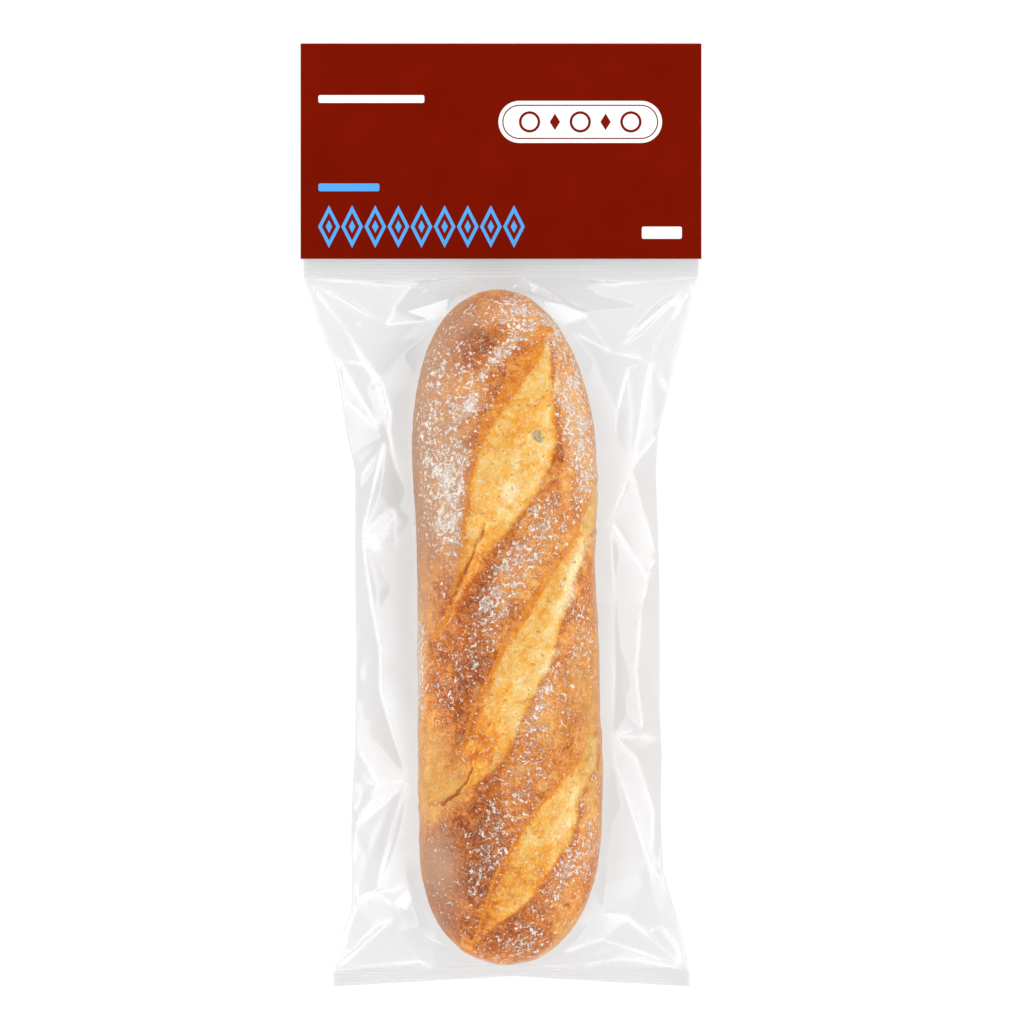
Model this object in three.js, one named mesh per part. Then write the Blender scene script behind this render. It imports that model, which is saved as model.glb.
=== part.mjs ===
// A baguette in a clear pillow bag, closed at the top by a folded header card.
//
// Millimetres. The pack lies on its back: +Z is up, +Y points to the card, and the
// origin is under the middle of the pack, on the surface that it lies on.
// The bag is drawn as one solid, the outer form of its film round the loaf.
import * as THREE from "three";

// Header card: one strip of board folded over the top of the bag.
const cardWidth = 154.4;
const cardLength = 83;
const cardTopY = 181.5;
const boardThickness = 0.45;
const cardThickness = 2;
const foldSegments = 12;

// Bag: a flat tube of film with a crimped seal across each end.
const sealThickness = 0.5;
const rimThickness = 0.6;
const topSealY = 91.6;
const topSealHalfWidth = 76.2;
const tailInCard = 30; // length of bag between the card's leaves
const bottomSealY = -176; // at its two corners
const bottomSealWidth = 5.5;
const bottomSealPullIn = 2.6; // the loaf's end draws the seal's middle in
const bottomSealLift = 7.5; // and lifts it off the table
const bottomSealTilt = 0.45; // share of that lift lost across the seal's width
const bottomSealNarrowing = 1.6; // so the middle looks this much narrower
const cornerLift = 0.9; // the side folds rise from this at the seals
const waistLift = 9; // to this beside the loaf
const bottomFlare = 46; // length over which the bag closes down to its bottom seal
const topFlare = 62; // and to its top seal

// Side folds of the bag, from the bottom seal to the top one, as [y, x].
const leftFold = [
  [bottomSealY, -64.5],
  [-162, -61.2],
  [-150, -56.6],
  [-121, -57.4],
  [-71, -55.2],
  [-6, -55.8],
  [17, -56.2],
  [33, -59.3],
  [56, -63.1],
  [79, -72],
  [topSealY, -topSealHalfWidth],
];
const rightFold = [
  [bottomSealY, 72.6],
  [-167, 70.8],
  [-154, 67.4],
  [-135, 61.8],
  [-87, 61.8],
  [-48, 61],
  [17, 59.6],
  [48, 64.7],
  [79, 72.4],
  [topSealY, topSealHalfWidth],
];

// Loaf: a bar with two rounded ends, flat where it was baked.
const loafTopY = 86.4;
const loafBottomY = -172.6;
const loafHalfWidth = 35.4;
const loafHeight = 50;
const widestHeight = 20; // height at which the loaf is widest
const topEndLength = 68;
const bottomEndLength = 52;
const endPower = 2.4; // over 2 makes the ends blunter than an ellipse
const crownPower = 2.2; // the same for the arch across the loaf
const loafFootHalfWidth = 24;
const filmGap = 0.5; // the film rides this far above the crust

// The loaf isn't quite straight: its middle line, as [y, x].
const loafMiddle = [
  [loafBottomY, 2.1],
  [-148, 2.5],
  [-125, 3.7],
  [-71, 3.3],
  [-17, 1.9],
  [21, 1.5],
  [loafTopY, -1.8],
];

// Mesh of the bag.
const columns = 32;
const rows = 44;
const rowCrowding = 0.55; // closer rows towards both ends, where the film is steep
const tighteningSteps = 600;
const overRelaxation = 1.7;

const { lerp, clamp, smoothstep } = THREE.MathUtils;

// The value of a polyline of [position, value] points at a position.
function alongPoints(points, position) {
  const last = points.length - 1;
  if (position <= points[0][0]) return points[0][1];
  if (position >= points[last][0]) return points[last][1];
  const next = points.findIndex(([at]) => at > position);
  const [fromAt, from] = points[next - 1];
  const [toAt, to] = points[next];
  return lerp(from, to, (position - fromAt) / (toAt - fromAt));
}

// 1 along the loaf's body, falling to 0 in a rounded curve at each end.
function endRounding(y) {
  const fromTop = clamp((loafTopY - y) / topEndLength, 0, 1);
  const fromBottom = clamp((y - loafBottomY) / bottomEndLength, 0, 1);
  const near = Math.min(fromTop, fromBottom);
  return Math.sqrt(1 - Math.pow(1 - near, endPower));
}

// Height of the loaf's upper crust, or null beside the loaf.
function crustHeight(x, y) {
  const halfWidth = loafHalfWidth * endRounding(y);
  const offset = Math.abs(x - alongPoints(loafMiddle, y));
  if (offset >= halfWidth) return null;
  const crown = (loafHeight - widestHeight) * endRounding(y);
  return widestHeight + crown * Math.sqrt(1 - Math.pow(offset / halfWidth, crownPower));
}

// How far the bag has opened out from its seals: 0 at each seal, 1 at the waist.
function opening(y) {
  const fromBottom = smoothstep(y, bottomSealY, bottomSealY + bottomFlare);
  return fromBottom * smoothstep(topSealY - y, 0, topFlare);
}

// Bottom seal: across runs from -1 to 1 along it, outwards from 0 to 1 over its width.
function bottomSealPlace(across, outwards) {
  const middle = 1 - Math.abs(across);
  const arch = 1 - Math.pow(across, 2);
  return {
    y:
      bottomSealY +
      bottomSealPullIn * middle -
      outwards * (bottomSealWidth - bottomSealNarrowing * middle),
    lift: cornerLift * (1 - outwards) + bottomSealLift * arch * (1 - bottomSealTilt * outwards),
  };
}

// Height of the film's lower layer: flat under the loaf, rising to the side folds
// and to the seals.
function undersideHeight(x, y, left, right, across) {
  const middle = alongPoints(loafMiddle, y);
  const foot = loafFootHalfWidth * Math.pow(endRounding(y), 1.5);
  const toFold = x < middle ? middle - left : right - middle;
  const beside = clamp((Math.abs(x - middle) - foot) / (toFold - foot), 0, 1);
  const foldLift = lerp(cornerLift, waistLift, opening(y)) - rimThickness / 2;
  const sideRise = foldLift * Math.pow(beside, 1.6);
  const nearBottomSeal = 1 - smoothstep(y, bottomSealY, loafBottomY + foot + 10);
  const nearTopSeal = 1 - smoothstep(topSealY - y, 0, topSealY - loafTopY + 3);
  const bottomRise = bottomSealPlace(across, 0).lift * Math.pow(nearBottomSeal, 2);
  const topRise = ((cardThickness - sealThickness) / 2) * nearTopSeal;
  return Math.max(sideRise, bottomRise, topRise);
}

// The film between the seals: a grid of places, each with the height that it may
// not go below, and the side folds and the seals held where they are.
function layOutFilm() {
  const grid = [];
  for (let row = 0; row <= rows; row++) {
    const share = row / rows;
    const eased = share - (rowCrowding * Math.sin(2 * Math.PI * share)) / (2 * Math.PI);
    const line = [];
    for (let column = 0; column <= columns; column++) {
      const across = (2 * column) / columns - 1;
      const y = lerp(bottomSealPlace(across, 0).y, topSealY, eased);
      const left = alongPoints(leftFold, y);
      const right = alongPoints(rightFold, y);
      const x = lerp(left, right, column / columns);
      const under = undersideHeight(x, y, left, right, across);
      const crust = crustHeight(x, y);
      const lowest = crust === null ? under + rimThickness : crust + filmGap;
      line.push({ x, y, under, lowest, height: lowest });
    }
    grid.push(line);
  }
  return grid;
}

// Pulls the upper layer tight over the loaf: each free place moves to the mean of
// its four neighbours, weighted by how near they are, but not into the crust.
function tighten(grid) {
  for (let step = 0; step < tighteningSteps; step++) {
    for (let row = 1; row < rows; row++) {
      for (let column = 1; column < columns; column++) {
        const here = grid[row][column];
        const neighbours = [
          grid[row - 1][column],
          grid[row + 1][column],
          grid[row][column - 1],
          grid[row][column + 1],
        ];
        let sum = 0;
        let weights = 0;
        for (const there of neighbours) {
          const weight = 1 / ((there.x - here.x) ** 2 + (there.y - here.y) ** 2);
          sum += weight * there.height;
          weights += weight;
        }
        const moved = here.height + overRelaxation * (sum / weights - here.height);
        here.height = Math.max(here.lowest, moved);
      }
    }
  }
}

// The seals go on past the film as thin fins: out over the bottom seal's width, and
// up through the top seal to between the card's leaves.
function withSeals(grid) {
  const bottomFin = grid[0].map(({ x }, column) => {
    const { y, lift } = bottomSealPlace((2 * column) / columns - 1, 1);
    return { x, y, under: lift, height: lift + sealThickness };
  });
  const under = (cardThickness - sealThickness) / 2;
  const height = under + sealThickness;
  const inCard = cardTopY - cardLength + tailInCard;
  const topFin = [topSealY, cardTopY - cardLength, inCard].map((y) =>
    grid[rows].map(({ x }) => ({ x, y, under, height })),
  );
  return [bottomFin, ...grid.slice(0, rows), ...topFin];
}

// One closed mesh from the upper and the lower layer of a grid.
function closedShell(grid) {
  const perLine = grid[0].length;
  const lastLine = grid.length - 1;
  const lastColumn = perLine - 1;
  const places = grid.flat();
  const positions = [
    ...places.flatMap(({ x, y, height }) => [x, y, height]),
    ...places.flatMap(({ x, y, under }) => [x, y, under]),
  ];
  const upper = (line, column) => line * perLine + column;
  const lower = (line, column) => places.length + upper(line, column);
  const faces = [];
  const quad = (a, b, c, d) => faces.push(a, b, c, a, c, d);
  for (let i = 0; i < lastLine; i++) {
    for (let j = 0; j < lastColumn; j++) {
      quad(upper(i, j), upper(i, j + 1), upper(i + 1, j + 1), upper(i + 1, j));
      quad(lower(i, j), lower(i + 1, j), lower(i + 1, j + 1), lower(i, j + 1));
    }
    quad(upper(i, 0), upper(i + 1, 0), lower(i + 1, 0), lower(i, 0));
    quad(lower(i, lastColumn), lower(i + 1, lastColumn), upper(i + 1, lastColumn), upper(i, lastColumn));
  }
  for (let j = 0; j < lastColumn; j++) {
    quad(lower(0, j), lower(0, j + 1), upper(0, j + 1), upper(0, j));
    quad(upper(lastLine, j), upper(lastLine, j + 1), lower(lastLine, j + 1), lower(lastLine, j));
  }
  const geometry = new THREE.BufferGeometry();
  geometry.setAttribute("position", new THREE.Float32BufferAttribute(positions, 3));
  geometry.setIndex(faces);
  geometry.computeVertexNormals();
  return geometry;
}

function makeBag() {
  const grid = layOutFilm();
  tighten(grid);
  const clearFilm = new THREE.MeshStandardMaterial({
    color: 0xeeeeee,
    roughness: 0.08,
    metalness: 0,
    transparent: true,
    opacity: 0.35,
  });
  const bag = new THREE.Mesh(closedShell(withSeals(grid)), clearFilm);
  bag.name = "bag";
  return bag;
}

// The card's section runs from the lower edge of the back leaf, round the fold at
// the top, to the lower edge of the front leaf, and is drawn out to its width.
function makeHeaderCard() {
  const outerRadius = cardThickness / 2;
  const innerRadius = outerRadius - boardThickness;
  const foldCentre = cardLength - outerRadius;
  const quarter = Math.PI / 2;
  const section = new THREE.Shape();
  section.moveTo(0, 0);
  section.lineTo(foldCentre, 0);
  section.absarc(foldCentre, outerRadius, outerRadius, -quarter, quarter, false);
  section.lineTo(0, cardThickness);
  section.lineTo(0, cardThickness - boardThickness);
  section.lineTo(foldCentre, cardThickness - boardThickness);
  section.absarc(foldCentre, outerRadius, innerRadius, quarter, -quarter, true);
  section.lineTo(0, boardThickness);
  section.closePath();
  const geometry = new THREE.ExtrudeGeometry(section, {
    depth: cardWidth,
    bevelEnabled: false,
    curveSegments: foldSegments,
  });
  const redBoard = new THREE.MeshStandardMaterial({ color: 0x801701, roughness: 0.6, metalness: 0 });
  const card = new THREE.Mesh(geometry, redBoard);
  card.name = "header_card";
  // The section's own X runs along the part's Y, and its Y runs along the part's Z.
  const sectionX = new THREE.Vector3(0, 1, 0);
  const sectionY = new THREE.Vector3(0, 0, 1);
  const drawnAlong = new THREE.Vector3(1, 0, 0);
  card.quaternion.setFromRotationMatrix(new THREE.Matrix4().makeBasis(sectionX, sectionY, drawnAlong));
  card.position.set(-cardWidth / 2, cardTopY - cardLength, 0);
  return card;
}

const pack = new THREE.Group();
pack.add(makeBag(), makeHeaderCard());

export default pack;
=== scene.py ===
import math

import bpy
import numpy as np
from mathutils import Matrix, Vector, noise
from mathutils.geometry import delaunay_2d_cdt


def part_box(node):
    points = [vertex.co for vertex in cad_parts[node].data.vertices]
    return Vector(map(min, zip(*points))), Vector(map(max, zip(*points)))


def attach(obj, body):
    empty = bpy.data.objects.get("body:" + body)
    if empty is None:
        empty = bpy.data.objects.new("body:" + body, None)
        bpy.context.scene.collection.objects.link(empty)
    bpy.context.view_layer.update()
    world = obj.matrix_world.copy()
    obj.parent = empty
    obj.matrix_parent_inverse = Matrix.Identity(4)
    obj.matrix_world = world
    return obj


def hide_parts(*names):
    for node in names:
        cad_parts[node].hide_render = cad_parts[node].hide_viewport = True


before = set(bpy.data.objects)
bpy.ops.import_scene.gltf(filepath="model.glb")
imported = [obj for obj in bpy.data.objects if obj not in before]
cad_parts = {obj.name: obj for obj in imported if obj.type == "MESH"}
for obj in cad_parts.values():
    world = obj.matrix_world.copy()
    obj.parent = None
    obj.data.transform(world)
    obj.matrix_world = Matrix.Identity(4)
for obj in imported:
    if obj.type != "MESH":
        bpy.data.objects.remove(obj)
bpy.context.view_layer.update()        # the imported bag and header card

mm = 0.001

# Sizes below are in millimetres in the pack's own frame: +X right, +Y to the card,
# +Z up. Outlines, slashes and folds are lists of given places.


def smoothStep(value, low, high):
    share = np.clip((value - low) / (high - low), 0, 1)
    return share * share * (3 - 2 * share)


def alongLine(points, at):
    # value of a bent line of (position, value) points at each position
    places, values = zip(*sorted(points))
    return np.interp(at, places, values)


def alongCurve(points, at, rounding):
    # the same line with its corners rounded over that length
    steps = np.linspace(-1, 1, 9)
    weights = 1 - np.abs(steps) * 0.9
    values = [w * alongLine(points, at + s * rounding) for s, w in zip(steps, weights)]
    return sum(values) / weights.sum()


def bell(value, width):
    return np.exp(-((value / width) ** 2))


def lumps(points, size, seed):
    # smooth noise from -1 to 1, with lumps of about that size
    shift = Vector((seed * 13.7, seed * 5.3, seed * 9.1))
    flat = np.asarray(points, float).reshape(-1, 3) / size
    values = np.array([noise.noise(Vector(p) + shift) for p in flat])
    return values.reshape(np.shape(points)[:-1])


def flatPlaces(x, y):
    return np.stack([x, y, np.zeros_like(x)], axis=-1)


def makePiece(name, vertices, faces, material):
    mesh = bpy.data.meshes.new(name)
    mesh.from_pydata([tuple(v) for v in vertices], [], faces)
    mesh.validate()
    mesh.polygons.foreach_set("use_smooth", [True] * len(mesh.polygons))
    mesh.materials.append(material)
    piece = bpy.data.objects.new(name, mesh)
    bpy.context.scene.collection.objects.link(piece)
    return piece


def paintPiece(piece, name, values):
    # one number for each vertex, which a material reads by that name
    attribute = piece.data.attributes.new(name, "FLOAT", "POINT")
    attribute.data.foreach_set("value", np.asarray(values, np.float32))


def gridFaces(numbers):
    # quads between the neighbouring lines of a grid of vertex numbers
    corners = [numbers[:-1, :-1], numbers[:-1, 1:], numbers[1:, 1:], numbers[1:, :-1]]
    return np.stack([c.ravel() for c in corners], axis=1).tolist()


# Shader and geometry nodes


class Link:
    # one node's output, so that shader maths reads as plain expressions
    def __init__(self, nodes, socket):
        self.nodes = nodes
        self.socket = socket

    def maths(self, operation, *values):
        return self.nodes.add("ShaderNodeMath", {"operation": operation}, dict(enumerate(values)))

    def __add__(self, other):
        return self.maths("ADD", self, other)

    def __radd__(self, other):
        return self.maths("ADD", other, self)

    def __sub__(self, other):
        return self.maths("SUBTRACT", self, other)

    def __rsub__(self, other):
        return self.maths("SUBTRACT", other, self)

    def __mul__(self, other):
        return self.maths("MULTIPLY", self, other)

    def __rmul__(self, other):
        return self.maths("MULTIPLY", other, self)

    def __truediv__(self, other):
        return self.maths("DIVIDE", self, other)

    def __pow__(self, other):
        return self.maths("POWER", self, other)

    def __abs__(self):
        return self.maths("ABSOLUTE", self)

    def larger(self, other):
        return self.maths("MAXIMUM", self, other)

    def smaller(self, other):
        return self.maths("MINIMUM", self, other)

    def folded(self, period):
        # back and forth between 0 and the period
        return self.maths("PINGPONG", self, period)

    def between(self, low, high):
        # 0 below low, 1 above high, smooth in between
        settings = {"interpolation_type": "SMOOTHSTEP"}
        sockets = {"Value": self, "From Min": low, "From Max": high}
        return self.nodes.add("ShaderNodeMapRange", settings, sockets)


class Nodes:
    # a node tree, with one method that adds any node to it
    def __init__(self, tree):
        self.tree = tree

    def add(self, kind, settings=None, sockets=None, output=0):
        node = self.tree.nodes.new(kind)
        for name, value in (settings or {}).items():
            if name == "stops":
                self.setStops(node.color_ramp, value)
            else:
                setattr(node, name, value)
        for key, value in (sockets or {}).items():
            self.plug(self.find(node.inputs, key), value)
        return None if output is None else Link(self, self.find(node.outputs, output))

    def find(self, sockets, key):
        if isinstance(key, int):
            return sockets[key]
        return next(s for s in sockets if s.enabled and s.name == key)

    def plug(self, socket, value):
        if isinstance(value, Link):
            self.tree.links.new(value.socket, socket)
        elif socket.type == "RGBA":
            socket.default_value = (*value[:3], 1)
        else:
            socket.default_value = value

    def separate(self, vector):
        split = self.add("ShaderNodeSeparateXYZ", None, {0: vector}, "X")
        return {axis: Link(self, split.socket.node.outputs[axis]) for axis in "XYZ"}

    def join(self, layers):
        node = self.tree.nodes.new("GeometryNodeJoinGeometry")
        for layer in reversed(layers):
            self.tree.links.new(layer.socket, node.inputs[0])
        return Link(self, node.outputs[0])

    def setStops(self, ramp, stops):
        while len(ramp.elements) < len(stops):
            ramp.elements.new(0.5)
        for element, (place, colour) in zip(ramp.elements, stops):
            element.position = place
            element.color = (*colour, 1)


class Shader(Nodes):
    def __init__(self, name):
        self.material = bpy.data.materials.new(name)
        self.material.use_nodes = True
        super().__init__(self.material.node_tree)
        self.tree.nodes.clear()

    def places(self):
        # this piece's own coordinates, in millimetres
        position = self.add("ShaderNodeTexCoord", output="Object")
        sockets = {0: position, "Scale": 1 / mm}
        return self.add("ShaderNodeVectorMath", {"operation": "SCALE"}, sockets)

    def attribute(self, name):
        return self.add("ShaderNodeAttribute", {"attribute_name": name}, output="Fac")

    def attributes(self, *names):
        return [self.attribute(name) for name in names]

    def grain(self, vector, size, detail=2.0, twist=0.0):
        # noise from 0 to 1, with lumps of about that size
        sockets = {"Vector": vector, "Scale": 1 / size, "Detail": detail, "Distortion": twist}
        return self.add("ShaderNodeTexNoise", None, sockets)

    def curls(self, vector, size, lines, twist):
        # short curled lines: contours of a noise, 1 on a line and 0 off it
        contours = (self.grain(vector, size, 1, twist) * lines).folded(1)
        return 1 - contours.between(0.16, 0.44)

    def shifted(self, vector, step):
        return self.add("ShaderNodeVectorMath", {"operation": "ADD"}, {0: vector, 1: step})

    def turned(self, vector, angle, scale):
        sockets = {"Vector": vector, "Rotation": (0, 0, math.radians(angle)), "Scale": scale}
        return self.add("ShaderNodeMapping", {"vector_type": "TEXTURE"}, sockets)

    def ramp(self, factor, stops):
        return self.add("ShaderNodeValToRGB", {"stops": stops}, {0: factor})

    def mix(self, factor, first, second):
        sockets = {"Factor": factor, "A": first, "B": second}
        return self.add("ShaderNodeMix", {"data_type": "RGBA"}, sockets, "Result")

    def bump(self, height, depth):
        return self.add("ShaderNodeBump", None, {"Height": height, "Distance": depth})

    def surface(self, sockets):
        return self.add("ShaderNodeBsdfPrincipled", None, sockets)

    def sheer(self, colour):
        return self.add("ShaderNodeBsdfTransparent", None, {"Color": colour})

    def blend(self, factor, first, second):
        return self.add("ShaderNodeMixShader", None, {0: factor, 1: first, 2: second})

    def finish(self, surface):
        self.add("ShaderNodeOutputMaterial", None, {"Surface": surface}, output=None)
        return self.material


# Loaf: its form, which the film follows too

loafForm = {
    "top": 86.4,
    "bottom": -172.6,
    "height": 49.9,
    "widest": 20,          # height at which it is widest
    "topEnd": 68,          # lengths of the rounded ends
    "bottomEnd": 52,
    "endPower": 2.35,      # over 2 makes an end blunter than an ellipse
    "crownPower": 2.2,
    "basePower": 3.2,
    "middle": [(-172.6, 2.1), (-148, 2.5), (-125, 3.7), (-71, 3.3), (-17, 1.9), (21, 1.5),
               (86.4, -1.8)],
    "halfWidth": [(-172, 34.6), (-95, 35.3), (-70, 34.9), (-15, 34.2), (15, 35.3), (86, 35.4)],
    "sideRounding": 18,
    "footHalfWidth": 24,   # of the flat base
}


def endRounding(y):
    # 1 along the loaf's body, falling to 0 in a round curve at each end
    fromTop = np.clip((loafForm["top"] - y) / loafForm["topEnd"], 0, 1)
    fromBottom = np.clip((y - loafForm["bottom"]) / loafForm["bottomEnd"], 0, 1)
    near = np.minimum(fromTop, fromBottom)
    return np.sqrt(1 - (1 - near) ** loafForm["endPower"])


def loafMiddle(y):
    return alongCurve(loafForm["middle"], y, loafForm["sideRounding"])


def loafHalfWidth(y):
    return alongCurve(loafForm["halfWidth"], y, loafForm["sideRounding"]) * endRounding(y)


def beyondLoaf(x, y):
    # distance outside the loaf's outline, less than 0 over the loaf
    return np.abs(x - loafMiddle(y)) - loafHalfWidth(y)


def crustHeight(x, y):
    # height of the upper crust without its relief, and -1 beside the loaf
    half = np.maximum(loafHalfWidth(y), 1e-6)
    offset = np.abs(x - loafMiddle(y)) / half
    rounding = endRounding(y)
    crown = (loafForm["height"] - loafForm["widest"]) * rounding
    arch = np.sqrt(np.clip(1 - offset ** loafForm["crownPower"], 0, 1))
    onLoaf = (offset < 1) & (rounding > 0.05)
    return np.where(onLoaf, loafForm["widest"] + crown * arch, -1)


# Slashes: both edges from the upper end down, as (y, x), the depth, and the width of the
# scorched crust outside the left edge, as (y, width)
slashes = {
    "upper": {
        "left": [(67.5, 17.5), (58, 13), (48.5, 6), (42, 1.5), (31, -6.5), (14, -12), (0.5, -14),
                 (-13, -15.5), (-26.5, -17.5), (-39.5, -21), (-47.5, -25.5)],
        "right": [(67.5, 18.5), (63.5, 19), (42, 20.5), (30, 22), (19, 20), (6, 13), (-1, 7),
                  (-12, -1), (-21, -5.5), (-26, -10.5), (-34.5, -16), (-41, -18.5), (-47.5, -25)],
        "depth": 1.1,
        "scorched": [(70, 5), (62, 7), (50, 7), (40, 5), (28, 1.6), (10, 0.5), (-30, 0.5),
                     (-47, 1.2)],
    },
    "middle": {
        "left": [(12.5, 36), (-1, 31), (-13, 26), (-22.5, 19), (-27.5, 16.5), (-39, 9.5),
                 (-49, 2.5), (-55.5, -1), (-66, -6.5), (-76, -11), (-84.5, -13.5), (-92, -19),
                 (-101.5, -27), (-110, -32)],
        "right": [(12.5, 38), (-5, 37), (-8.5, 32), (-18.5, 31), (-28, 26.5), (-37, 24),
                  (-42.5, 23), (-55.5, 20), (-65.5, 15), (-78, 8.5), (-86, 5.5), (-92.5, 2.5),
                  (-96.5, -1.5), (-101.5, -7), (-108, -18), (-110, -25)],
        "depth": 1.0,
        "scorched": [(12, 2), (-20, 3.5), (-45, 2.5), (-60, 0.8), (-110, 0.4)],
    },
    "lower": {
        "left": [(-84.5, 34), (-93.5, 30.5), (-103, 22), (-111, 15), (-118.5, 9.5), (-124, 6),
                 (-129.5, 2.5), (-136.5, -1.5), (-143, -4), (-151.5, -6.5), (-161.5, -9.5),
                 (-165, -12)],
        "right": [(-84.5, 37.5), (-96, 36.5), (-109.5, 29.5), (-116.5, 29.5), (-124, 27.5),
                  (-132.5, 22), (-139.5, 17.5), (-145.5, 14), (-151.5, 7), (-156.5, -1),
                  (-162.5, -7), (-165, -11)],
        "depth": 0.95,
        "scorched": [(-84, 1.5), (-110, 1.5), (-130, 0.8), (-165, 0.5)],
    },
}
slashForm = {
    "edgeRounding": 3,
    "sideways": 0.832,      # how much nearer a slanting edge is than it is along x
    "endwise": 0.8,         # and an end than it is along y
    "narrowest": 1.5,
    "lean": 27,             # degrees, of the strands torn along the slashes
    "valley": (0.22, 0.24),          # middle and width, as shares of the way across
    "rightGroove": (0.97, 0.07),
    "rightGrooveDepth": 0.35,
    "ridge": (0.72, 0.2),
    "ridgeHeight": 0.8,
    "lip": (-1.6, 1.7),              # middle and width, in millimetres inside the edge
    "lipHeight": 0.45,               # raised crust along the upper left edge
    "rim": (-1.2, 1.2),
    "rimHeight": 0.35,
    "crackDepth": 0.5,
}


def slashPlace(x, y, slash):
    # signed distance inside the slash's edges, and the share of the way across it
    left = alongCurve(slash["left"], y, slashForm["edgeRounding"])
    right = alongCurve(slash["right"], y, slashForm["edgeRounding"])
    highest = slash["left"][0][0]
    lowest = slash["left"][-1][0]
    toSides = np.minimum(x - left, right - x) * slashForm["sideways"]
    toEnds = np.minimum(highest - y, y - lowest) * slashForm["endwise"]
    across = (x - left) / np.maximum(right - left, slashForm["narrowest"])
    atLeft = 1 - smoothStep(x - left, 0, 4)
    return np.minimum(toSides, toEnds), np.clip(across, -0.5, 1.5), atLeft


# Patches on the crust: (x, y, half width, half length, lean in degrees, strength)
flourPatches = [
    (-20.5, 6, 8, 25, 0, 1.0), (-17.5, 2, 5, 20, 0, 0.3), (-16.5, 22, 5, 8, 0, 0.8),
    (-18, 50, 15, 22, 0, 0.55), (-9, 49, 5, 5, 0, 0.7), (0, 62, 4, 13, -40, 0.9),
    (-4.5, -37, 8, 18, -15, 0.75), (17, -2, 12, 15, -20, 0.65), (6, -22, 9, 12, -20, 0.75),
    (28.5, 38, 8, 27, 8, 1.0), (8, 78, 14, 9, 0, 0.9), (18, -71, 8, 24, -22, 0.45),
    (15, -70, 3.5, 14, -28, 0.7), (2, -167, 17, 6, 0, 0.5),
    (6, -106, 11, 23, -25, 0.5), (-6, -134, 8, 17, -20, 0.5), (24, -138, 9, 21, -35, 0.7),
    (9, -160, 14, 8, 0, 0.4), (-16, -63, 10, 18, -15, 0.3), (31, -45, 6, 20, 0, 0.45),
    (34, -112, 5, 22, 0, 0.4), (-27, 25, 7, 22, 0, 0.5), (20, 72, 12, 10, -35, 0.9),
    (-33, -58, 5, 26, 0, 1.0), (33, 10, 4, 14, 0, 0.6), (-14, 41, 4, 9, -40, 0.8),
]
toastPatches = [
    (-12, 66, 10, 11, 0, 0.85), (-0.5, 49, 5, 6, -30, 0.6), (-11, 29, 4, 6, -30, 0.6),
    (-7, -36, 5, 13, -10, 0.9), (-12, -61, 6, 18, -22, 0.65), (-9, -138, 10, 15, -20, 0.9),
    (-2, -163, 6, 5, 0, 0.8), (22, 22, 2, 4, 0, 1.0), (-14, -78, 7, 16, -25, 0.7),
    (-10, -118, 11, 14, -30, 0.75), (30, -65, 8, 24, 0, 0.4), (24, 2, 8, 12, 0, 0.35),
    (-8, -22, 6, 16, -25, 0.7), (-6, -90, 8, 14, -30, 0.6), (14, -142, 9, 20, -30, 0.42),
    (7, -161, 16, 8, 0, 0.6), (-29, -150, 9, 20, 20, 0.8), (-15, -36, 8, 12, -20, 0.3),
    (-3, -146, 6, 16, -25, 0.15), (-20, -124, 10, 12, 0, 0.4), (-25, -45, 6, 24, 0, 0.15),
    (11, 41, 5, 12, -35, 0.2), (-20, -96, 9, 13, -35, 0.45),
]
palePatches = [
    (-10, 75, 7, 5, 0, 0.6), (-32, -52, 4.5, 28, 0, 1.0), (-27, -98, 11, 21, -15, 1.0),
    (-21, -106, 6, 12, -35, 1.0), (35, 0, 4, 17, 0, 0.8), (27, -160, 6, 9, -35, 0.9),
    (30, 62, 6, 14, 25, 0.5),
    (24, 47, 4, 9, 0, 0.6), (35, -80, 4, 22, 0, 0.8), (21, -12, 9, 20, -25, 0.45),
    (31, -58, 7, 22, -10, 0.7), (20, -82, 8, 16, -25, 0.45), (28, 25, 7, 22, 0, 0.4),
    (34, -100, 5, 24, 0, 0.8),
]
# Painted reflection: patches where the film's milky sheen over the crust is painted in as a dull
# haze
filmHazePatches = [
    (-25, -134, 9, 17, 10, 1.0), (-30, 18, 7, 56, 0, 1.0), (-26, 62, 10, 18, -30, 0.7),
    (-27, -158, 9, 9, 30, 0.7), (-15, 76, 13, 8, 30, 0.6), (-19, 22, 7, 30, 0, 0.8),
    (-18, -10, 5, 16, 0, 0.5),
]

# Details inside and beside the slashes: cracks as (path, width, strength), and odd spots
crackPaths = [
    ([(-7, -4), (-9.5, -12), (-13, -20), (-17, -28), (-19, -34)], 0.9, 0.7),
    ([(-10, -97), (-12.5, -101), (-17, -106), (-21.5, -111)], 0.6, 1.0),
    ([(13.5, -66.5), (10, -70), (7.5, -74)], 0.5, 0.5),
    ([(9, -139.5), (10, -141)], 0.5, 0.8),
    ([(22, 28), (20.5, 19), (14, 8), (8, 3)], 0.8, 0.45),
]
creamPatches = [
    (3.5, 9.5, 4.2, 5, -30, 1.0), (5.5, 22, 3.5, 6, -25, 0.5), (18, 64, 1.8, 7, -8, 0.5),
    (21, 50, 2, 8, 0, 0.5), (28, -20, 3, 14, -22, 0.8), (24, -34, 3, 9, -25, 0.6),
    (17.5, -57, 2, 8, -30, 0.7), (-10, 8, 1.6, 4, 0, 0.4), (6, -80, 3.5, 8, -30, 0.4),
    (24, -118, 4, 9, -30, 0.45), (18.5, -45, 3, 5, 0, 0.4),
]
pockPatches = [(14.2, 30.4, 2.5, 3.0, 0, 1.0), (9.5, 18, 0.8, 1.2, 0, 0.5)]


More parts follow.
